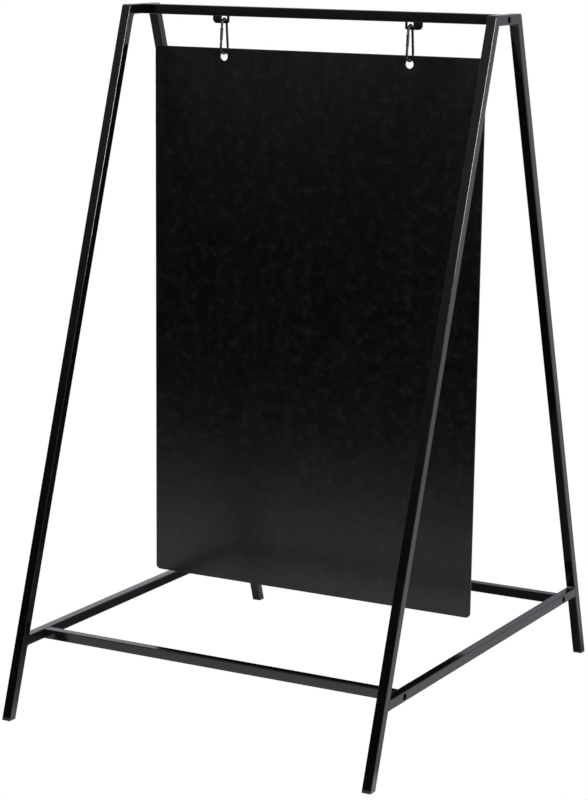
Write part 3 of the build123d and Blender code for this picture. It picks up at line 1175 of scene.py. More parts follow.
# ---------------------------------------------------------------- end frames
@dataclass
class EndFrame:
    """One A-shaped end: two legs, a header and a low cross bar, welded together."""

    side: Side
    sizes: StandSizes
    stock: TubeStock = TubeStock()
    corner_steps: int = 8
    access_radius: float = 0.0054
    bolt_hole_radius: float = 0.0033
    bead_radius: float = 0.0029
    bead_sink: float = 0.0004
    ripple_pitch: float = 0.0011
    ripple_depth: float = 0.07
    bead_taper: float = 0.35
    cap_ease: float = 0.0006
    cap_top_ease: float = 0.00035
    cap_opening: float = 0.0007
    plug_wall: float = 0.0018
    plug_gap: float = 0.0001
    plug_overlap: float = 0.0005
    plug_top: float = 0.021

    def __post_init__(self) -> None:
        """Works out the shared directions."""
        lean = self.sizes.lean
        self.x = self.side.value * (self.sizes.width - self.stock.size) / 2
        self.half = self.stock.size / 2
        self.cos, self.sin = math.cos(lean), math.sin(lean)

    def _corner(self, way: Way) -> Vector:
        """The sharp corner that the top round replaces."""
        return Vector((self.x, way.value * self.sizes.top_depth / 2, self.sizes.height))

    def _outward(self, way: Way) -> Vector:
        """Direction square to the leg's outer face."""
        return Vector((0, way.value * self.cos, self.sin))

    def _upward(self, way: Way) -> Vector:
        """Direction up the leg."""
        return Vector((0, -way.value * self.sin, self.cos))

    def _round_centre(self, way: Way) -> Vector:
        """Centre of the round over the corner.

        Args:
            way: Which half of the frame.

        Returns:
            The centre.
        """
        inner = math.pi / 2 + self.sizes.lean
        inward = -(self._outward(way) + Vector((0, 0, 1))).normalized()
        return self._corner(way) + inward * (self.sizes.top_corner / math.sin(inner / 2))

    def _corner_station(self, way: Way, direction: Vector) -> Station:
        """Station of the rounded mitre, where the outer side faces along a direction.

        Args:
            way: Which half of the frame.
            direction: Where the outer side faces.

        Returns:
            The station.
        """
        corner, centre = self._corner(way), self._round_centre(way)
        radius = self.sizes.top_corner

        def station(across: float, out: float) -> Vector:
            """Place of one point of the section.

            Args:
                across: How far across it lies.
                out: How far out it lies.

            Returns:
                Its place.
            """
            depth = self.half - out
            if depth < radius:
                spot = centre + direction * (radius - depth)
            else:
                spot = corner + (centre - corner) * (depth / radius)
            return spot + Vector((across, 0, 0))

        return station

    def _mitre_direction(self, way: Way) -> Vector:
        """Direction from the round's centre to the corner."""
        return (self._corner(way) - self._round_centre(way)).normalized()

    def _foot_station(self, way: Way, height: float) -> Station:
        """Station where the leg is cut level.

        Args:
            way: Which half of the frame.
            height: The height of the cut.

        Returns:
            The station.
        """
        corner, outward, upward = self._corner(way), self._outward(way), self._upward(way)

        def station(across: float, out: float) -> Vector:
            """Place of one point of the section.

            Args:
                across: How far across it lies.
                out: How far out it lies.

            Returns:
                Its place.
            """
            spot = corner + outward * (out - self.half)
            spot += upward * ((height - spot.z) / upward.z)
            return spot + Vector((across, 0, 0))

        return station

    def _leg(self, way: Way) -> bpy.types.Object:
        """Slanted leg from its cap to the mitre.

        Args:
            way: Which half of the frame.

        Returns:
            The leg.
        """
        stations = [self._foot_station(way, self.sizes.cap_height)]
        start, end = self._outward(way), self._mitre_direction(way)
        for step in range(self.corner_steps + 1):
            direction = start.slerp(end, step / self.corner_steps)
            stations.append(self._corner_station(way, direction))
        name = f"{self.side.label}_{way.label}_leg_tube"
        return smooth_rounds(self.stock.tube(name, stations))

    def _header(self) -> bpy.types.Object:
        """Short top tube, mitred at both ends and drilled.

        Returns:
            The header.
        """
        stations = []
        up = Vector((0, 0, 1))
        for way, flip in ((Way.FRONT, False), (Way.REAR, True)):
            steps = [self._mitre_direction(way).slerp(up, step / self.corner_steps)
                     for step in range(self.corner_steps + 1)]
            for direction in reversed(steps) if flip else steps:
                stations.append(self._corner_station(way, direction))
        piece = self.stock.tube(f"{self.side.label}_header_tube", stations)
        cut(piece, self._bolt_cutters(0.0, self.sizes.rail_z))
        return smooth_rounds(piece)

    def _cross_bar(self) -> bpy.types.Object:
        """Low tube between the legs, cut to their slant and drilled.

        Returns:
            The cross bar.
        """
        z = self.sizes.bar_z

        def end(way: Way) -> Station:
            """Station on the leg's inner face.

            Args:
                way: Which half of the frame.

            Returns:
                The station.
            """
            face = self._corner(way) - self._outward(way) * self.stock.size
            outward = self._outward(way)

            def station(across: float, up: float) -> Vector:
                """Place of one point of the section.

                Args:
                    across: How far across it lies.
                    up: How far up it lies.

                Returns:
                    Its place.
                """
                level = z + up
                y = face.y - (level - face.z) * outward.z / outward.y
                return Vector((self.x + across, y, level))

            return station

        name = f"{self.side.label}_cross_bar_tube"
        piece = self.stock.tube(name, [end(way) for way in Way])
        reach = self.sizes.stretcher_y
        cut(piece, self._bolt_cutters(-reach, z) + self._bolt_cutters(reach, z))
        return smooth_rounds(piece)

    def _bolt_cutters(self, y: float, z: float) -> list[bpy.types.Object]:
        """Cutters for one bolt's access hole and bolt hole.

        Args:
            y: The bolt's Y.
            z: The bolt's height.

        Returns:
            The two cutters.
        """
        middle = Vector((self.x, y, z))
        out = Vector((self.side.value * self.stock.size, 0, 0))
        return [cylinder(middle, middle + out, self.access_radius),
                cylinder(middle - out, middle, self.bolt_hole_radius)]

    def _beads(self, workshop: Workshop) -> bpy.types.Object:
        """Weld beads in the inner corners of the end frame.

        Args:
            workshop: The materials and trees.

        Returns:
            The beads, as one piece.
        """
        lines = []
        reach = self.half - self.stock.corner
        size = self.stock.size
        for way in Way:
            outward = self._outward(way)
            inner_face = self._corner(way) - outward * size
            for z, below in ((self.sizes.rail_z - self.half, True),
                             (self.sizes.bar_z - self.half, True),
                             (self.sizes.bar_z + self.half, False)):
                y = inner_face.y - (z - inner_face.z) * outward.z / outward.y
                spot = Vector((self.x, y, z)) - outward * self.bead_sink
                spot.z += -self.bead_sink if below else self.bead_sink
                lines.append([spot - Vector((reach, 0, 0)), spot + Vector((reach, 0, 0))])
        name = f"{self.side.label}_frame_welds"
        values = {"Radius": self.bead_radius, "Ripple pitch": self.ripple_pitch,
                  "Ripple depth": self.ripple_depth, "Taper": self.bead_taper,
                  "Material": workshop.materials["frame_coat"]}
        return smooth_rounds(workshop.trees.make(
            name, workshop.trees.bead, line_mesh(name, lines), values), 60.0)

    def _caps(self) -> list[bpy.types.Object]:
        """The two plastic caps under the legs.

        Returns:
            Each cap's shell and its plug.
        """
        caps = []
        ease, part, top_ease = self.cap_ease, self.cap_ease * BEVEL_SHARE, self.cap_top_ease
        cap_top = self.sizes.cap_height
        levels = [(0.0, ease), (part, part), (ease, 0.0), (cap_top - top_ease, 0.0),
                  (cap_top, top_ease)]
        for way in Way:
            stations = []
            for height, shrink in levels:
                whole = self._foot_station(way, height)
                share = 1 - shrink / self.half

                def station(across: float, out: float, whole: Station = whole,
                            share: float = share) -> Vector:
                    """Place of one point, drawn in at the eased edges."""
                    return whole(across * share, out * share)

                stations.append(station)
            cap = self.stock.tube("cap", stations, wall=self.half - self.cap_opening)
            plug_stations = [self._foot_station(way, cap_top - self.plug_overlap),
                             self._foot_station(way, self.plug_top)]
            plug = self.stock.tube("plug", plug_stations, wall=self.plug_wall,
                                   inset=self.stock.wall + self.plug_gap)
            caps += [smooth_rounds(cap), smooth_rounds(plug)]
        return caps

    def build(self, workshop: Workshop) -> list[bpy.types.Object]:
        """Builds the end frame.

        Args:
            workshop: The materials and trees.

        Returns:
            The caps, which the stand joins into one piece.
        """
        label = self.side.label
        for way in Way:
            workshop.deliver(self._leg(way), "stand", "frame_coat", [f"{label}_{way.label}_leg"])
        workshop.deliver(self._header(), "stand", "frame_coat", [f"{label}_header"])
        workshop.deliver(self._cross_bar(), "stand", "frame_coat", [f"{label}_cross_bar"])
        workshop.deliver(self._beads(workshop), "stand", "frame_coat")
        return self._caps()


# ---------------------------------------------------------------- rails
@dataclass
class Rails:
    """The top rail and the two low stretchers, with their bolts and threaded blocks."""

    sizes: StandSizes
    stock: TubeStock = TubeStock()
    end_ease: float = 0.0003
    head_radius: float = 0.005
    head_height: float = 0.006
    shank_radius: float = 0.003
    bolt_length: float = 0.018
    key_across: float = 0.005
    key_depth: float = 0.003
    bolt_ease: float = 0.0005

    def places(self) -> dict[str, tuple[float, float]]:
        """Name of each rail to its Y and Z.

        Returns:
            The places by name.
        """
        reach = self.sizes.stretcher_y
        return {"top_rail": (0.0, self.sizes.rail_z),
                "front_stretcher": (-reach, self.sizes.bar_z),
                "rear_stretcher": (reach, self.sizes.bar_z)}

    def _rail(self, name: str, y: float, z: float) -> bpy.types.Object:
        """Tube between the end frames, with its cut ends eased.

        Args:
            name: The rail's node name.
            y: Its middle along Y.
            z: Its middle height.

        Returns:
            The tube.
        """
        end = self.sizes.width / 2 - self.stock.size
        half = self.stock.size / 2
        stations = []
        for x, shrink in ((-end, self.end_ease), (-end + self.end_ease, 0.0),
                          (end - self.end_ease, 0.0), (end, self.end_ease)):
            share = 1 - shrink / half

            def station(across: float, up: float, x: float = x, share: float = share) -> Vector:
                """Place of one point of the section."""
                return Vector((x, y + across * share, z + up * share))

            stations.append(station)
        return smooth_rounds(self.stock.tube(f"{name}_tube", stations))

    def _bolt(self) -> bpy.types.Object:
        """One socket-head bolt along Z, its seat at the origin and its head above.

        Returns:
            The bolt.
        """
        ease = self.bolt_ease
        outline = [(0, -self.bolt_length), (self.shank_radius - ease, -self.bolt_length),
                   (self.shank_radius, -self.bolt_length + ease), (self.shank_radius, 0),
                   (self.head_radius, 0), (self.head_radius, self.head_height - ease),
                   (self.head_radius - ease * BEVEL_SHARE, self.head_height - ease * BEVEL_SHARE),
                   (self.head_radius - ease, self.head_height), (0, self.head_height)]
        bolt = turned("bolt", outline, Matrix.Identity(4), 48)
        floor = Vector((0, 0, self.head_height - self.key_depth))
        key = cylinder(floor, floor + Vector((0, 0, 2 * self.key_depth)),
                       self.key_across / math.sqrt(3), 6)
        return smooth_rounds(cut(bolt, [key]), 30.0)

    def _bolts(self, workshop: Workshop) -> bpy.types.Object:
        """All six frame bolts.

        Args:
            workshop: The materials and trees.

        Returns:
            The bolts, as one piece.
        """
        seat = self.sizes.width / 2 - self.stock.size + self.stock.wall
        spots = [(Vector((side.value * seat, y, z)), Vector((side.value, 0, 0)))
                 for y, z in self.places().values() for side in Side]
        model = self._bolt()
        values = {"Fastener": model, "Material": workshop.materials["bolt_steel"]}
        return workshop.trees.make("frame_bolt_set", workshop.trees.fasteners,
                                   point_mesh("frame_bolt_set", spots), values, [model])

    def build(self, workshop: Workshop) -> None:
        """Builds the rails and their fasteners.

        Args:
            workshop: The materials and trees.
        """
        for name, (y, z) in self.places().items():
            workshop.deliver(self._rail(name, y, z), "stand", "frame_coat", [name])
        workshop.deliver(self._bolts(workshop), "stand", "bolt_steel", ["frame_bolts"])
        workshop.keep("threaded_inserts", "zinc_steel")


# ---------------------------------------------------------------- hanger tabs
@dataclass
class HangerTab:
    """Flat tab under the rail that a hook hangs from."""

    side: Side
    sizes: StandSizes
    stock: TubeStock = TubeStock()
    spread: float = HOOK_SPREAD
    thickness: float = 0.003
    inner_leg: float = 0.0035
    outer_leg: float = 0.0155
    window_width: float = 0.011
    bar_height: float = 0.005
    drop: float = 0.012
    corner: float = 0.007
    inner_corner: float = 0.004
    ease: float = 0.00035
    window_corner: float = 0.0004
    bead_radius: float = 0.0011
    bead_sink: float = 0.0001
    bead_inset: float = 0.0004
    ripple_pitch: float = 0.0009
    ripple_depth: float = 0.08
    bead_taper: float = 0.4

    def build(self, workshop: Workshop) -> None:
        """Builds the tab and its welds.

        Args:
            workshop: The materials and trees.
        """
        half = self.window_width / 2
        outer, inner = half + self.outer_leg, half + self.inner_leg
        bar_top = -self.drop + self.bar_height
        points = [(-inner, 0), (-inner, -self.drop), (outer, -self.drop), (outer, 0),
                  (half, 0), (half, bar_top), (-half, bar_top), (-half, 0)]
        radii = [0, self.inner_corner, self.corner, 0, 0, self.window_corner,
                 self.window_corner, 0]
        outline = rounded_corners(points, radii)
        under = self.sizes.rail_z - self.stock.size / 2
        place = Matrix.Translation((self.side.value * self.spread, 0, under))
        if self.side is Side.LEFT:
            outline = [(-x, z) for x, z in reversed(outline)]
        name = f"{self.side.label}_hanger_tab_plate"
        tab = smooth_rounds(slab(name, outline, [], self.thickness, self.ease, place))
        workshop.deliver(tab, "stand", "frame_coat", [f"{self.side.label}_hanger_tab"])
        self._welds(workshop, half, inner, outer, under)

    def _welds(self, workshop: Workshop, half: float, inner: float, outer: float,
               under: float) -> None:
        """Small beads where the tab meets the rail.

        Args:
            workshop: The materials and trees.
            half: Half the window's width.
            inner: Reach of the tab's inner edge.
            outer: Reach of its outer edge.
            under: Height of the rail's underside.
        """
        lines = []
        sign = self.side.value
        for way in Way:
            y = way.value * (self.thickness / 2 + self.bead_sink)
            for start, end in ((-inner, -half), (half, outer)):
                lines.append([Vector((sign * (self.spread + x), y, under - self.bead_sink))
                              for x in (start + self.bead_inset, end - self.bead_inset)])
        name = f"{self.side.label}_tab_welds"
        values = {"Radius": self.bead_radius, "Ripple pitch": self.ripple_pitch,
                  "Ripple depth": self.ripple_depth, "Taper": self.bead_taper,
                  "Material": workshop.materials["frame_coat"]}
        beads = workshop.trees.make(name, workshop.trees.bead, line_mesh(name, lines), values)
        workshop.deliver(smooth_rounds(beads, 60.0), "stand", "frame_coat")


# ---------------------------------------------------------------- snap hooks
@dataclass
class SnapHook:
    """Bent-wire snap hook with a sprung gate, in the plane across the rail."""

    side: Side
    spread: float = HOOK_SPREAD
    axis_z: float = 1.1023
    wire_radius: float = 0.002
    top_radius: float = 0.0072
    bottom_radius: float = 0.011
    arc_spacing: float = 0.0378
    hinge_below_top: float = 0.018
    gate_radius: float = 0.0024
    gate_reach: float = 0.018
    end_gap: float = 0.0003
    tongue_thickness: float = 0.0018
    tongue_half: float = 0.0018
    nose_length: float = 0.0045
    latch_from_end: float = 0.0022
    latch_radius: float = 0.00065
    notch_clearance: float = 0.0002
    slot_clearance: float = 0.00015
    tongue_gap: float = 0.0006
    rivet_radius: float = 0.0009
    rivet_head: float = 0.0014
    rivet_head_height: float = 0.0008
    rivet_recess: float = 0.0004
    rivet_head_edge: float = 0.0003
    rivet_hole_gap: float = 0.00005
    bore_radius: float = 0.00095
    bore_from: float = 0.0005
    bore_to: float = 0.011
    latch_recess: float = 0.0005
    latch_ease: float = 0.0001
    plunger_length: float = 0.0025
    spring_gap: float = 0.00015
    coil_turns: float = 9.0
    coil_radius: float = 0.0007
    coil_wire: float = 0.00015
    gate_ease: float = 0.0005
    tongue_root: float = 0.001
    wire_sides: int = 28
    wire_ease: float = 0.0006
    ease: float = 0.0002
    arc_steps: int = 40

    def __post_init__(self) -> None:
        """Works out where the gate's hinge is and which way the front leg runs."""
        flare = math.asin((self.bottom_radius - self.top_radius) / self.arc_spacing)
        self.flare = flare
        self.centre = Vector((self.side.value * self.spread, 0, self.axis_z))
        self.down = Vector((0, -math.sin(flare), -math.cos(flare)))
        self.out = Vector((0, -math.cos(flare), math.sin(flare)))
        self.leg_top = self.out * self.top_radius
        hinge_z = self.top_radius + self.wire_radius - self.hinge_below_top
        run = (self.leg_top.z - hinge_z) / math.cos(flare)
        self.hinge = self.leg_top + self.down * run
        self.line_length = self.arc_spacing * math.cos(flare)

    def _leg_frame(self, run: float = 0.0) -> Matrix:
        """Place on the front leg, with X along X, Y to the hook's inside and Z down the leg.

        Args:
            run: Distance down the leg from the gate's hinge.

        Returns:
            The place as a matrix.
        """
        spot = self.centre + self.hinge + self.down * run
        columns = (Vector((1, 0, 0)), self.down.cross(Vector((1, 0, 0))), self.down)
        turn = Matrix([[c[i] for c in columns] for i in range(3)]).to_4x4()
        return Matrix.Translation(spot) @ turn

    def _path(self) -> list[Vector]:
        """Centre line of the wire, from above the gate's hinge round to the nose.

        Returns:
            Its points.
        """
        reach = self.gate_radius + self.end_gap
        low_front = self.leg_top + self.down * self.line_length
        nose = self.hinge + self.down * (self.gate_reach + self.end_gap)
        points = [self.hinge - self.down * reach]
        first, last = math.pi - self.flare, self.flare
        for step in range(self.arc_steps + 1):
            angle = first + (last - first) * step / self.arc_steps
            points.append(Vector((0, math.cos(angle), math.sin(angle))) * self.top_radius)
        bottom = Vector((0, 0, -self.arc_spacing))
        first, last = self.flare, -math.pi - self.flare
        for step in range(self.arc_steps + 1):
            angle = first + (last - first) * step / self.arc_steps
            spoke = Vector((0, math.cos(angle), math.sin(angle)))
            points.append(bottom + spoke * self.bottom_radius)
        points[-1] = low_front
        points.append(nose)
        return [self.centre + p for p in points]

    def _tongue(self, name: str, run_from: float, run_to: float, round_end: bool,
                notch: bool) -> bpy.types.Object:
        """Flat tongue on the front leg, drawn with its length along Z.

        Args:
            name: The piece's name.
            run_from: Where it starts, from the gate's hinge.
            run_to: Where it ends.
            round_end: Whether its end is a half circle round the hinge.
            notch: Whether the latch pin's notch is cut in it.

        Returns:
            The tongue.
        """
        half = self.tongue_half
        if round_end:
            arc = [(half * math.cos(a), half * math.sin(a))
                   for a in [math.pi * i / 16 for i in range(17)]]
            outline = [(-half, run_from), (half, run_from)] + arc
        elif notch:
            middle = self.gate_reach - self.latch_from_end
            radius = self.latch_radius + self.notch_clearance
            mouth = [(radius * math.sin(a), middle + radius * math.cos(a))
                     for a in [math.pi * (1 - i / 12) for i in reversed(range(13))]]
            outline = [(-half, run_from), (half, run_from), (half, run_to), (-half, run_to),
                       (-half, middle + radius), *mouth, (-half, middle - radius)]
        else:
            outline = [(-half, run_from), (half, run_from), (half, run_to), (-half, run_to)]
        place = self._leg_frame() @ Matrix.Rotation(math.radians(90), 4, "Z")
        return slab(name, outline, [], self.tongue_thickness, self.ease, place)

    def _body(self, workshop: Workshop) -> bpy.types.Object:
        """The bent wire with its two flat tongues.

        Args:
            workshop: The materials and trees.

        Returns:
            The hook's body.
        """
        name = f"{self.side.label}_hook_wire"
        values = {"Radius": self.wire_radius, "Sides": self.wire_sides,
                  "Eased ends": self.wire_ease, "Material": workshop.materials["hook_steel"]}
        wire = workshop.trees.make(name, workshop.trees.wire,
                                   line_mesh(name, [self._path()]), values)
        smooth_rounds(wire)
        reach = self.gate_radius + self.end_gap
        tip = self.gate_reach + self.end_gap
        tongue = self._tongue("tongue", -reach - self.tongue_root, 0.0, True, False)
        hinge = self.centre + self.hinge
        side = Vector((self.tongue_thickness, 0, 0))
        hole = self.rivet_radius + self.rivet_hole_gap
        cut(tongue, [cylinder(hinge - side, hinge + side, hole)])
        nose = self._tongue("nose", tip - self.nose_length, tip + self.tongue_root, False, True)
        parts = [wire, smooth_rounds(tongue), smooth_rounds(nose)]
        return joined(name, parts)

    def _gate(self) -> bpy.types.Object:
        """Round gate bar with a fork at the hinge and a slot at the tip.

        Returns:
            The gate.
        """
        radius, reach, ease = self.gate_radius, self.gate_reach, self.gate_ease
        outline = [(0, -radius)]
        for step in range(1, 9):
            angle = math.pi / 2 * step / 8
            outline.append((radius * math.sin(angle), -radius * math.cos(angle)))
        part = ease * BEVEL_SHARE
        outline += [(radius, reach - ease), (radius - part, reach - part),
                    (radius - ease, reach), (0, reach)]
        name = f"{self.side.label}_gate_bar"
        bar = turned(name, outline, self._leg_frame(), 40)
        width = self.tongue_thickness + 2 * self.slot_clearance
        floor = self.tongue_half + self.tongue_gap
        nose_clear = self.nose_length - self.end_gap + self.tongue_gap
        cutters = [self._slot_cutter(width, -2 * radius, floor),
                   self._slot_cutter(width, reach - nose_clear, reach + radius)]
        frame = self._leg_frame()
        for run, hole in ((0.0, self.rivet_radius), (reach - self.latch_from_end,
                                                     self.latch_radius)):
            spot = frame @ Vector((0, 0, run))
            side = Vector((2 * radius, 0, 0))
            cutters.append(cylinder(spot - side, spot + side, hole, 24))
        for sign in (-1, 1):
            start = frame @ Vector((sign * (radius - self.rivet_recess), 0, 0))
            end = frame @ Vector((sign * 2 * radius, 0, 0))
            cutters.append(cylinder(start, end, self.rivet_head, 32))
        bore = [frame @ Vector((0, 0, z)) for z in (self.bore_from, self.bore_to)]
        cutters.append(cylinder(bore[0], bore[1], self.bore_radius, 24))
        return smooth_rounds(cut(bar, cutters))

    def _slot_cutter(self, width: float, run_from: float, run_to: float) -> bpy.types.Object:
        """Box that cuts a slot across the gate.

        Args:
            width: The slot's width along X.
            run_from: Where it starts, from the gate's hinge.
            run_to: Where it ends.

        Returns:
            The cutter.
        """
        shape = bmesh.new()
        bmesh.ops.create_cube(shape, size=1.0)
        size = Matrix.Diagonal((width, 4 * self.gate_radius, run_to - run_from, 1.0))
        middle = Matrix.Translation((0, 0, (run_from + run_to) / 2))
        bmesh.ops.transform(shape, matrix=self._leg_frame() @ middle @ size, verts=shape.verts)
        bmesh.ops.recalc_face_normals(shape, faces=shape.faces)
        return as_piece("slot", shape)

    def _pins(self) -> bpy.types.Object:
        """Domed hinge rivet and plain latch pin.

        Returns:
            Both, as one piece.
        """
        across = self._leg_frame() @ Matrix.Rotation(math.radians(90), 4, "Y")
        seat = self.gate_radius - self.rivet_recess
        top = seat + self.rivet_head_height
        half = [(self.rivet_radius, 0.0), (self.rivet_radius, seat), (self.rivet_head, seat),
                (self.rivet_head, seat + self.rivet_head_edge),
                (self.rivet_head * 0.86, top - 0.00018),
                (self.rivet_head * 0.5, top - 0.00004), (0.0, top)]
        outline = [(r, -z) for r, z in reversed(half[1:])] + half[1:]
        rivet = turned(f"{self.side.label}_gate_rivets", outline, across, 32)
        end, round_off = self.gate_radius - self.latch_recess, self.latch_ease
        latch_half = [(self.latch_radius, end - round_off), (self.latch_radius - round_off, end),
                      (0, end)]
        latch_outline = [(r, -z) for r, z in reversed(latch_half)] + latch_half
        run = self.gate_reach - self.latch_from_end
        at_tip = self._leg_frame(run) @ Matrix.Rotation(math.radians(90), 4, "Y")
        latch = turned("latch", latch_outline, at_tip, 24)
        parts = [smooth_rounds(rivet), smooth_rounds(latch)]
        return joined(f"{self.side.label}_gate_rivets", parts)

    def _spring(self, workshop: Workshop) -> bpy.types.Object:
        """Coil spring in the gate's bore.

        Args:
            workshop: The materials and trees.

        Returns:
            The spring.
        """
        start = self.tongue_half + self.spring_gap + self.plunger_length + self.spring_gap
        length = self.bore_to - self.spring_gap - start
        spot = self.centre + self.hinge + self.down * start
        name = f"{self.side.label}_gate_coil"
        values = {"Turns": self.coil_turns, "Coil radius": self.coil_radius,
                  "Wire radius": self.coil_wire, "Length": length,
                  "Material": workshop.materials["spring_steel"]}
        coil = workshop.trees.make(name, workshop.trees.coil,
                                   point_mesh(name, [(spot, self.down)]), values)
        return smooth_rounds(coil, 60.0)

    def build(self, workshop: Workshop) -> None:
        """Builds the hook's body, gate, pins, plunger and spring.

        Args:
            workshop: The materials and trees.
        """
        label = self.side.label
        gate_body = f"{label}_spring_gate"
        workshop.deliver(self._body(workshop), f"{label}_hook", "hook_steel",
                         [f"{label}_hook_body"])
        workshop.deliver(self._gate(), gate_body, "hook_steel", [f"{label}_gate"])
        workshop.deliver(self._pins(), gate_body, "hook_steel", [f"{label}_gate_pins"])
        workshop.deliver(self._spring(workshop), gate_body, "spring_steel",
                         [f"{label}_gate_spring"])
        workshop.keep(f"{label}_gate_plunger", "spring_steel")


# ---------------------------------------------------------------- sign panel
@dataclass
class SignPanel:
    """Flat sheet with rounded corners and two hanging holes."""

    corner: float = 0.008
    hole_radius: float = 0.007
    hole_from_top: float = 0.0135
    hook_spread: float = HOOK_SPREAD
    ease: float = 0.0004

    def build(self, workshop: Workshop) -> None:
        """Builds the sheet.

        Args:
            workshop: The materials and trees.
        """
        low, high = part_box("sign_panel")
        points = [(low.x, low.z), (high.x, low.z), (high.x, high.z), (low.x, high.z)]
        outline = rounded_corners(points, [self.corner] * 4, 12)
        holes = [circle_points(side.value * self.hook_spread, high.z - self.hole_from_top,
                               self.hole_radius, 48) for side in Side]
        sheet = slab("sign_sheet", outline, holes, high.y - low.y, self.ease, Matrix.Identity(4))
        workshop.deliver(smooth_rounds(sheet), "panel", "panel_sheet", ["sign_panel"])


# ---------------------------------------------------------------- studio
@dataclass(frozen=True)
class SoftBox:
    """Large area light that faces a point of the stand."""

    name: str
    position: tuple[float, float, float]
    target: tuple[float, float, float]
    size: tuple[float, float]
    watts: float

    def place(self) -> None:
        """Adds the light to the scene."""
        data = bpy.data.lights.new(self.name, "AREA")
        data.shape = "RECTANGLE"
        data.size, data.size_y = self.size
        data.energy = self.watts
        light = bpy.data.objects.new(self.name, data)
        bpy.context.scene.collection.objects.link(light)
        light.location = self.position
        facing = Vector(self.target) - Vector(self.position)
        light.rotation_euler = facing.to_track_quat("-Z", "Y").to_euler()


@dataclass
class Studio:
    """Pale floor, white surroundings, soft lights and the camera."""

    floor_low: tuple[float, float] = (-6.0, -6.0)
    floor_high: tuple[float, float] = (6.0, 2.4)
    # Painted tone of the floor, seen only by reflected and bounced rays: pale at the sides,
    # painted shade under the stand, a painted pool of light just in front of it and painted
    # dimming far in front.
    floor_pale: float = 0.6
    floor_front: float = 1.15
    floor_shade: float = 0.12
    floor_dark: float = 0.03
    shade_left: tuple[float, float] = (-0.24, -0.08)
    shade_right: tuple[float, float] = (0.3, 0.44)
    shade_front: tuple[float, float] = (-0.4, -0.25)
    shade_rear: tuple[float, float] = (0.8, 1.5)
    front_fade: tuple[float, float] = (-1.75, -0.3)
    tint: tuple[float, float, float] = (0.97, 0.97, 1.06)
    front_glow: float = 0.015
    front_rise: tuple[float, float] = (0.27, 0.62)
    upper_front_glow: float = 0.6
    skyline_glow: float = 0.24
    skyline_foot: tuple[float, float] = (-0.09, -0.02)
    skyline_head: tuple[float, float] = (0.04, 0.14)
    rear_slant: float = 0.2
    rear_turn: tuple[float, float] = (-0.4, 0.25)
    rear_rise: tuple[float, float] = (0.0, 0.15)
    low_rear_glow: float = 0.66
    rear_glow: float = 0.9
    mid_rear_dip: float = 0.45
    dip_left: tuple[float, float] = (-0.42, -0.52)
    dip_right: tuple[float, float] = (0.1, 0.4)
    boxes: tuple[SoftBox, ...] = (
        SoftBox("right_box", (3.35, -1.3, 2.15), (0.2, 0.0, 0.8), (1.2, 0.9), 170.0),
    )
    sensor: float = 36.0
    clip: tuple[float, float] = (0.1, 100.0)
    lens: float = 110.70
    shift: tuple[float, float] = (0.0669, 0.1275)
    camera_place: tuple[float, float, float] = (1.8858, -3.5297, 1.3009)
    right: tuple[float, float, float] = (0.8673, 0.4977, 0.0063)
    up: tuple[float, float, float] = (-0.124, 0.2038, 0.9711)

    def _world(self) -> None:
        """White surroundings, dimmer in front but for a faint band at the skyline."""
        world = bpy.data.worlds.new("studio")
        bpy.context.scene.world = world
        world.use_nodes = True
        world.node_tree.nodes.clear()
        graph = Graph(world.node_tree)
        way = graph.node("ShaderNodeTexCoord").outputs["Generated"]
        parts = graph.node("ShaderNodeSeparateXYZ", {"Vector": way})
        across, ahead, up = (parts.outputs[axis] for axis in "XYZ")
        toward = graph.math("MULTIPLY_ADD", across, self.rear_slant, ahead)
        sideways = graph.math("MAXIMUM", graph.remap(across, *self.dip_left),
                              graph.remap(across, *self.dip_right))
        upper = graph.math("MULTIPLY_ADD", sideways, self.rear_glow - self.mid_rear_dip,
                           self.mid_rear_dip)
        rise = graph.remap(up, *self.rear_rise)
        lift = graph.math("MULTIPLY", rise, graph.math("SUBTRACT", upper, self.low_rear_glow))
        glow = graph.math("ADD", lift, self.low_rear_glow)
        rear = graph.math("MULTIPLY", graph.remap(toward, *self.rear_turn), glow)
        front = graph.remap(up, *self.front_rise, self.front_glow, self.upper_front_glow)
        skyline = graph.math("MULTIPLY",
                             graph.remap(up, *self.skyline_foot, 0.0, self.skyline_glow),
                             graph.remap(up, *self.skyline_head, 1.0, 0.0))
        front = graph.math("MAXIMUM", front, skyline)
        level = graph.math("MAXIMUM", rear, front)
        shades = [graph.math("MULTIPLY", level, share) for share in self.tint]
        lit = graph.node("ShaderNodeCombineColor", dict(enumerate(shades))).outputs[0]
        seen = graph.node("ShaderNodeLightPath").outputs["Is Camera Ray"]
        color = graph.mix_color(seen, lit, (1, 1, 1, 1))
        back = graph.node("ShaderNodeBackground", {"Color": color, "Strength": 1.0})
        graph.node("ShaderNodeOutputWorld", {"Surface": back.outputs[0]})

    def _floor_tone(self, graph: Graph) -> bpy.types.NodeSocket:
        """Painted tone of the floor: pale at the sides, painted shade under the stand, a painted
        pool of light just in front of it, and painted dimming far in front.

        Args:
            graph: The floor material's graph.

        Returns:
            The tone's socket.
        """
        place = graph.node("ShaderNodeTexCoord").outputs["Object"]
        parts = graph.node("ShaderNodeSeparateXYZ", {"Vector": place})
        right = graph.remap(parts.outputs["X"], *self.shade_right)
        front = graph.remap(parts.outputs["Y"], *self.shade_front, 1.0, 0.0)
        rear = graph.remap(parts.outputs["Y"], *self.shade_rear)
        left = graph.remap(parts.outputs["X"], *self.shade_left, 1.0, 0.0)
        clear = graph.math("MAXIMUM", graph.math("MAXIMUM", right, left), rear)
        # Painted shade under the stand: the tone drops from pale to the shade level inside the
        # shade limits.
        near = graph.math("MULTIPLY_ADD", clear, self.floor_pale - self.floor_shade,
                          self.floor_shade)
        # Painted pool of light just in front of the stand.
        near = graph.math("MAXIMUM", near, graph.math("MULTIPLY", front, self.floor_front))
        # Painted dimming far in front of the stand.
        fade = graph.remap(parts.outputs["Y"], *self.front_fade, self.floor_dark, 1.0)
        return graph.math("MULTIPLY", near, fade)

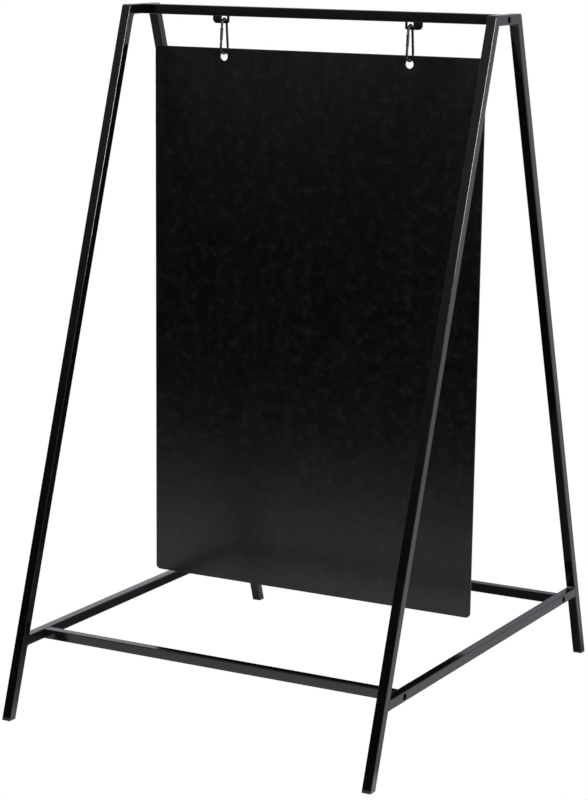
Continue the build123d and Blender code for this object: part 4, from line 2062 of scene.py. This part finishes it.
    def _floor(self) -> None:
        """Wide floor that glows plain white for camera rays; other rays see its painted tone of
        light and shade.
        """
        shape = bmesh.new()
        (x_low, y_low), (x_high, y_high) = self.floor_low, self.floor_high
        corners = [(x_low, y_low), (x_high, y_low), (x_high, y_high), (x_low, y_high)]
        shape.faces.new([shape.verts.new((x, y, 0.0)) for x, y in corners])
        floor = as_piece("floor", shape)
        material = bpy.data.materials.new("floor")
        material.use_nodes = True
        material.node_tree.nodes.clear()
        graph = Graph(material.node_tree)
        tone = self._floor_tone(graph)
        color = graph.node("ShaderNodeCombineColor", {0: tone, 1: tone, 2: tone}).outputs[0]
        # The diffuse floor carries the painted tone of light and shade; camera rays see the white
        # glow instead.
        paper = graph.node("ShaderNodeBsdfDiffuse", {"Color": color})
        glow = graph.node("ShaderNodeEmission", {"Color": (1, 1, 1, 1), "Strength": 1.0})
        seen = graph.node("ShaderNodeLightPath").outputs["Is Camera Ray"]
        mixed = graph.node("ShaderNodeMixShader", {
            0: seen, 1: paper.outputs[0], 2: glow.outputs[0]})
        graph.node("ShaderNodeOutputMaterial", {"Surface": mixed.outputs[0]})
        floor.data.materials.append(material)
        floor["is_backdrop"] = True

    def _camera(self) -> None:
        """Camera a little above the stand, towards its right-hand end."""
        data = bpy.data.cameras.new("camera")
        camera = bpy.data.objects.new("camera", data)
        bpy.context.scene.collection.objects.link(camera)
        data.lens = self.lens
        data.sensor_width = self.sensor
        data.shift_x, data.shift_y = self.shift
        data.clip_start, data.clip_end = self.clip
        right, up = Vector(self.right).normalized(), Vector(self.up).normalized()
        back = right.cross(up).normalized()
        up = back.cross(right)
        turn = Matrix([[right[i], up[i], back[i]] for i in range(3)])
        camera.location = self.camera_place
        camera.rotation_euler = turn.to_euler()
        bpy.context.scene.camera = camera

    def build(self) -> None:
        """Sets up the studio."""
        self._world()
        self._floor()
        for box in self.boxes:
            box.place()
        self._camera()
        bpy.context.scene.view_settings.view_transform = "Standard"


def main() -> None:
    """Builds the stand's pieces in order and sets up the studio."""
    logging.basicConfig(level=logging.INFO, format="%(message)s")
    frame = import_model()
    groups = SurfaceGroups()
    materials = {finish.name: finish.material(groups) for finish in FINISHES}
    workshop = Workshop(frame["nodes"], materials, PathTrees())
    sizes = StandSizes.from_frame()
    caps = []
    for side in Side:
        caps += EndFrame(side, sizes).build(workshop)
    workshop.deliver(joined("foot_caps", caps), "stand", "cap_plastic", ["end_caps"])
    Rails(sizes).build(workshop)
    for side in Side:
        HangerTab(side, sizes).build(workshop)
        SnapHook(side).build(workshop)
    SignPanel().build(workshop)
    Studio().build()
    LOG.info("%d pieces made", len(workshop.made))


if __name__ == "__main__":
    main()
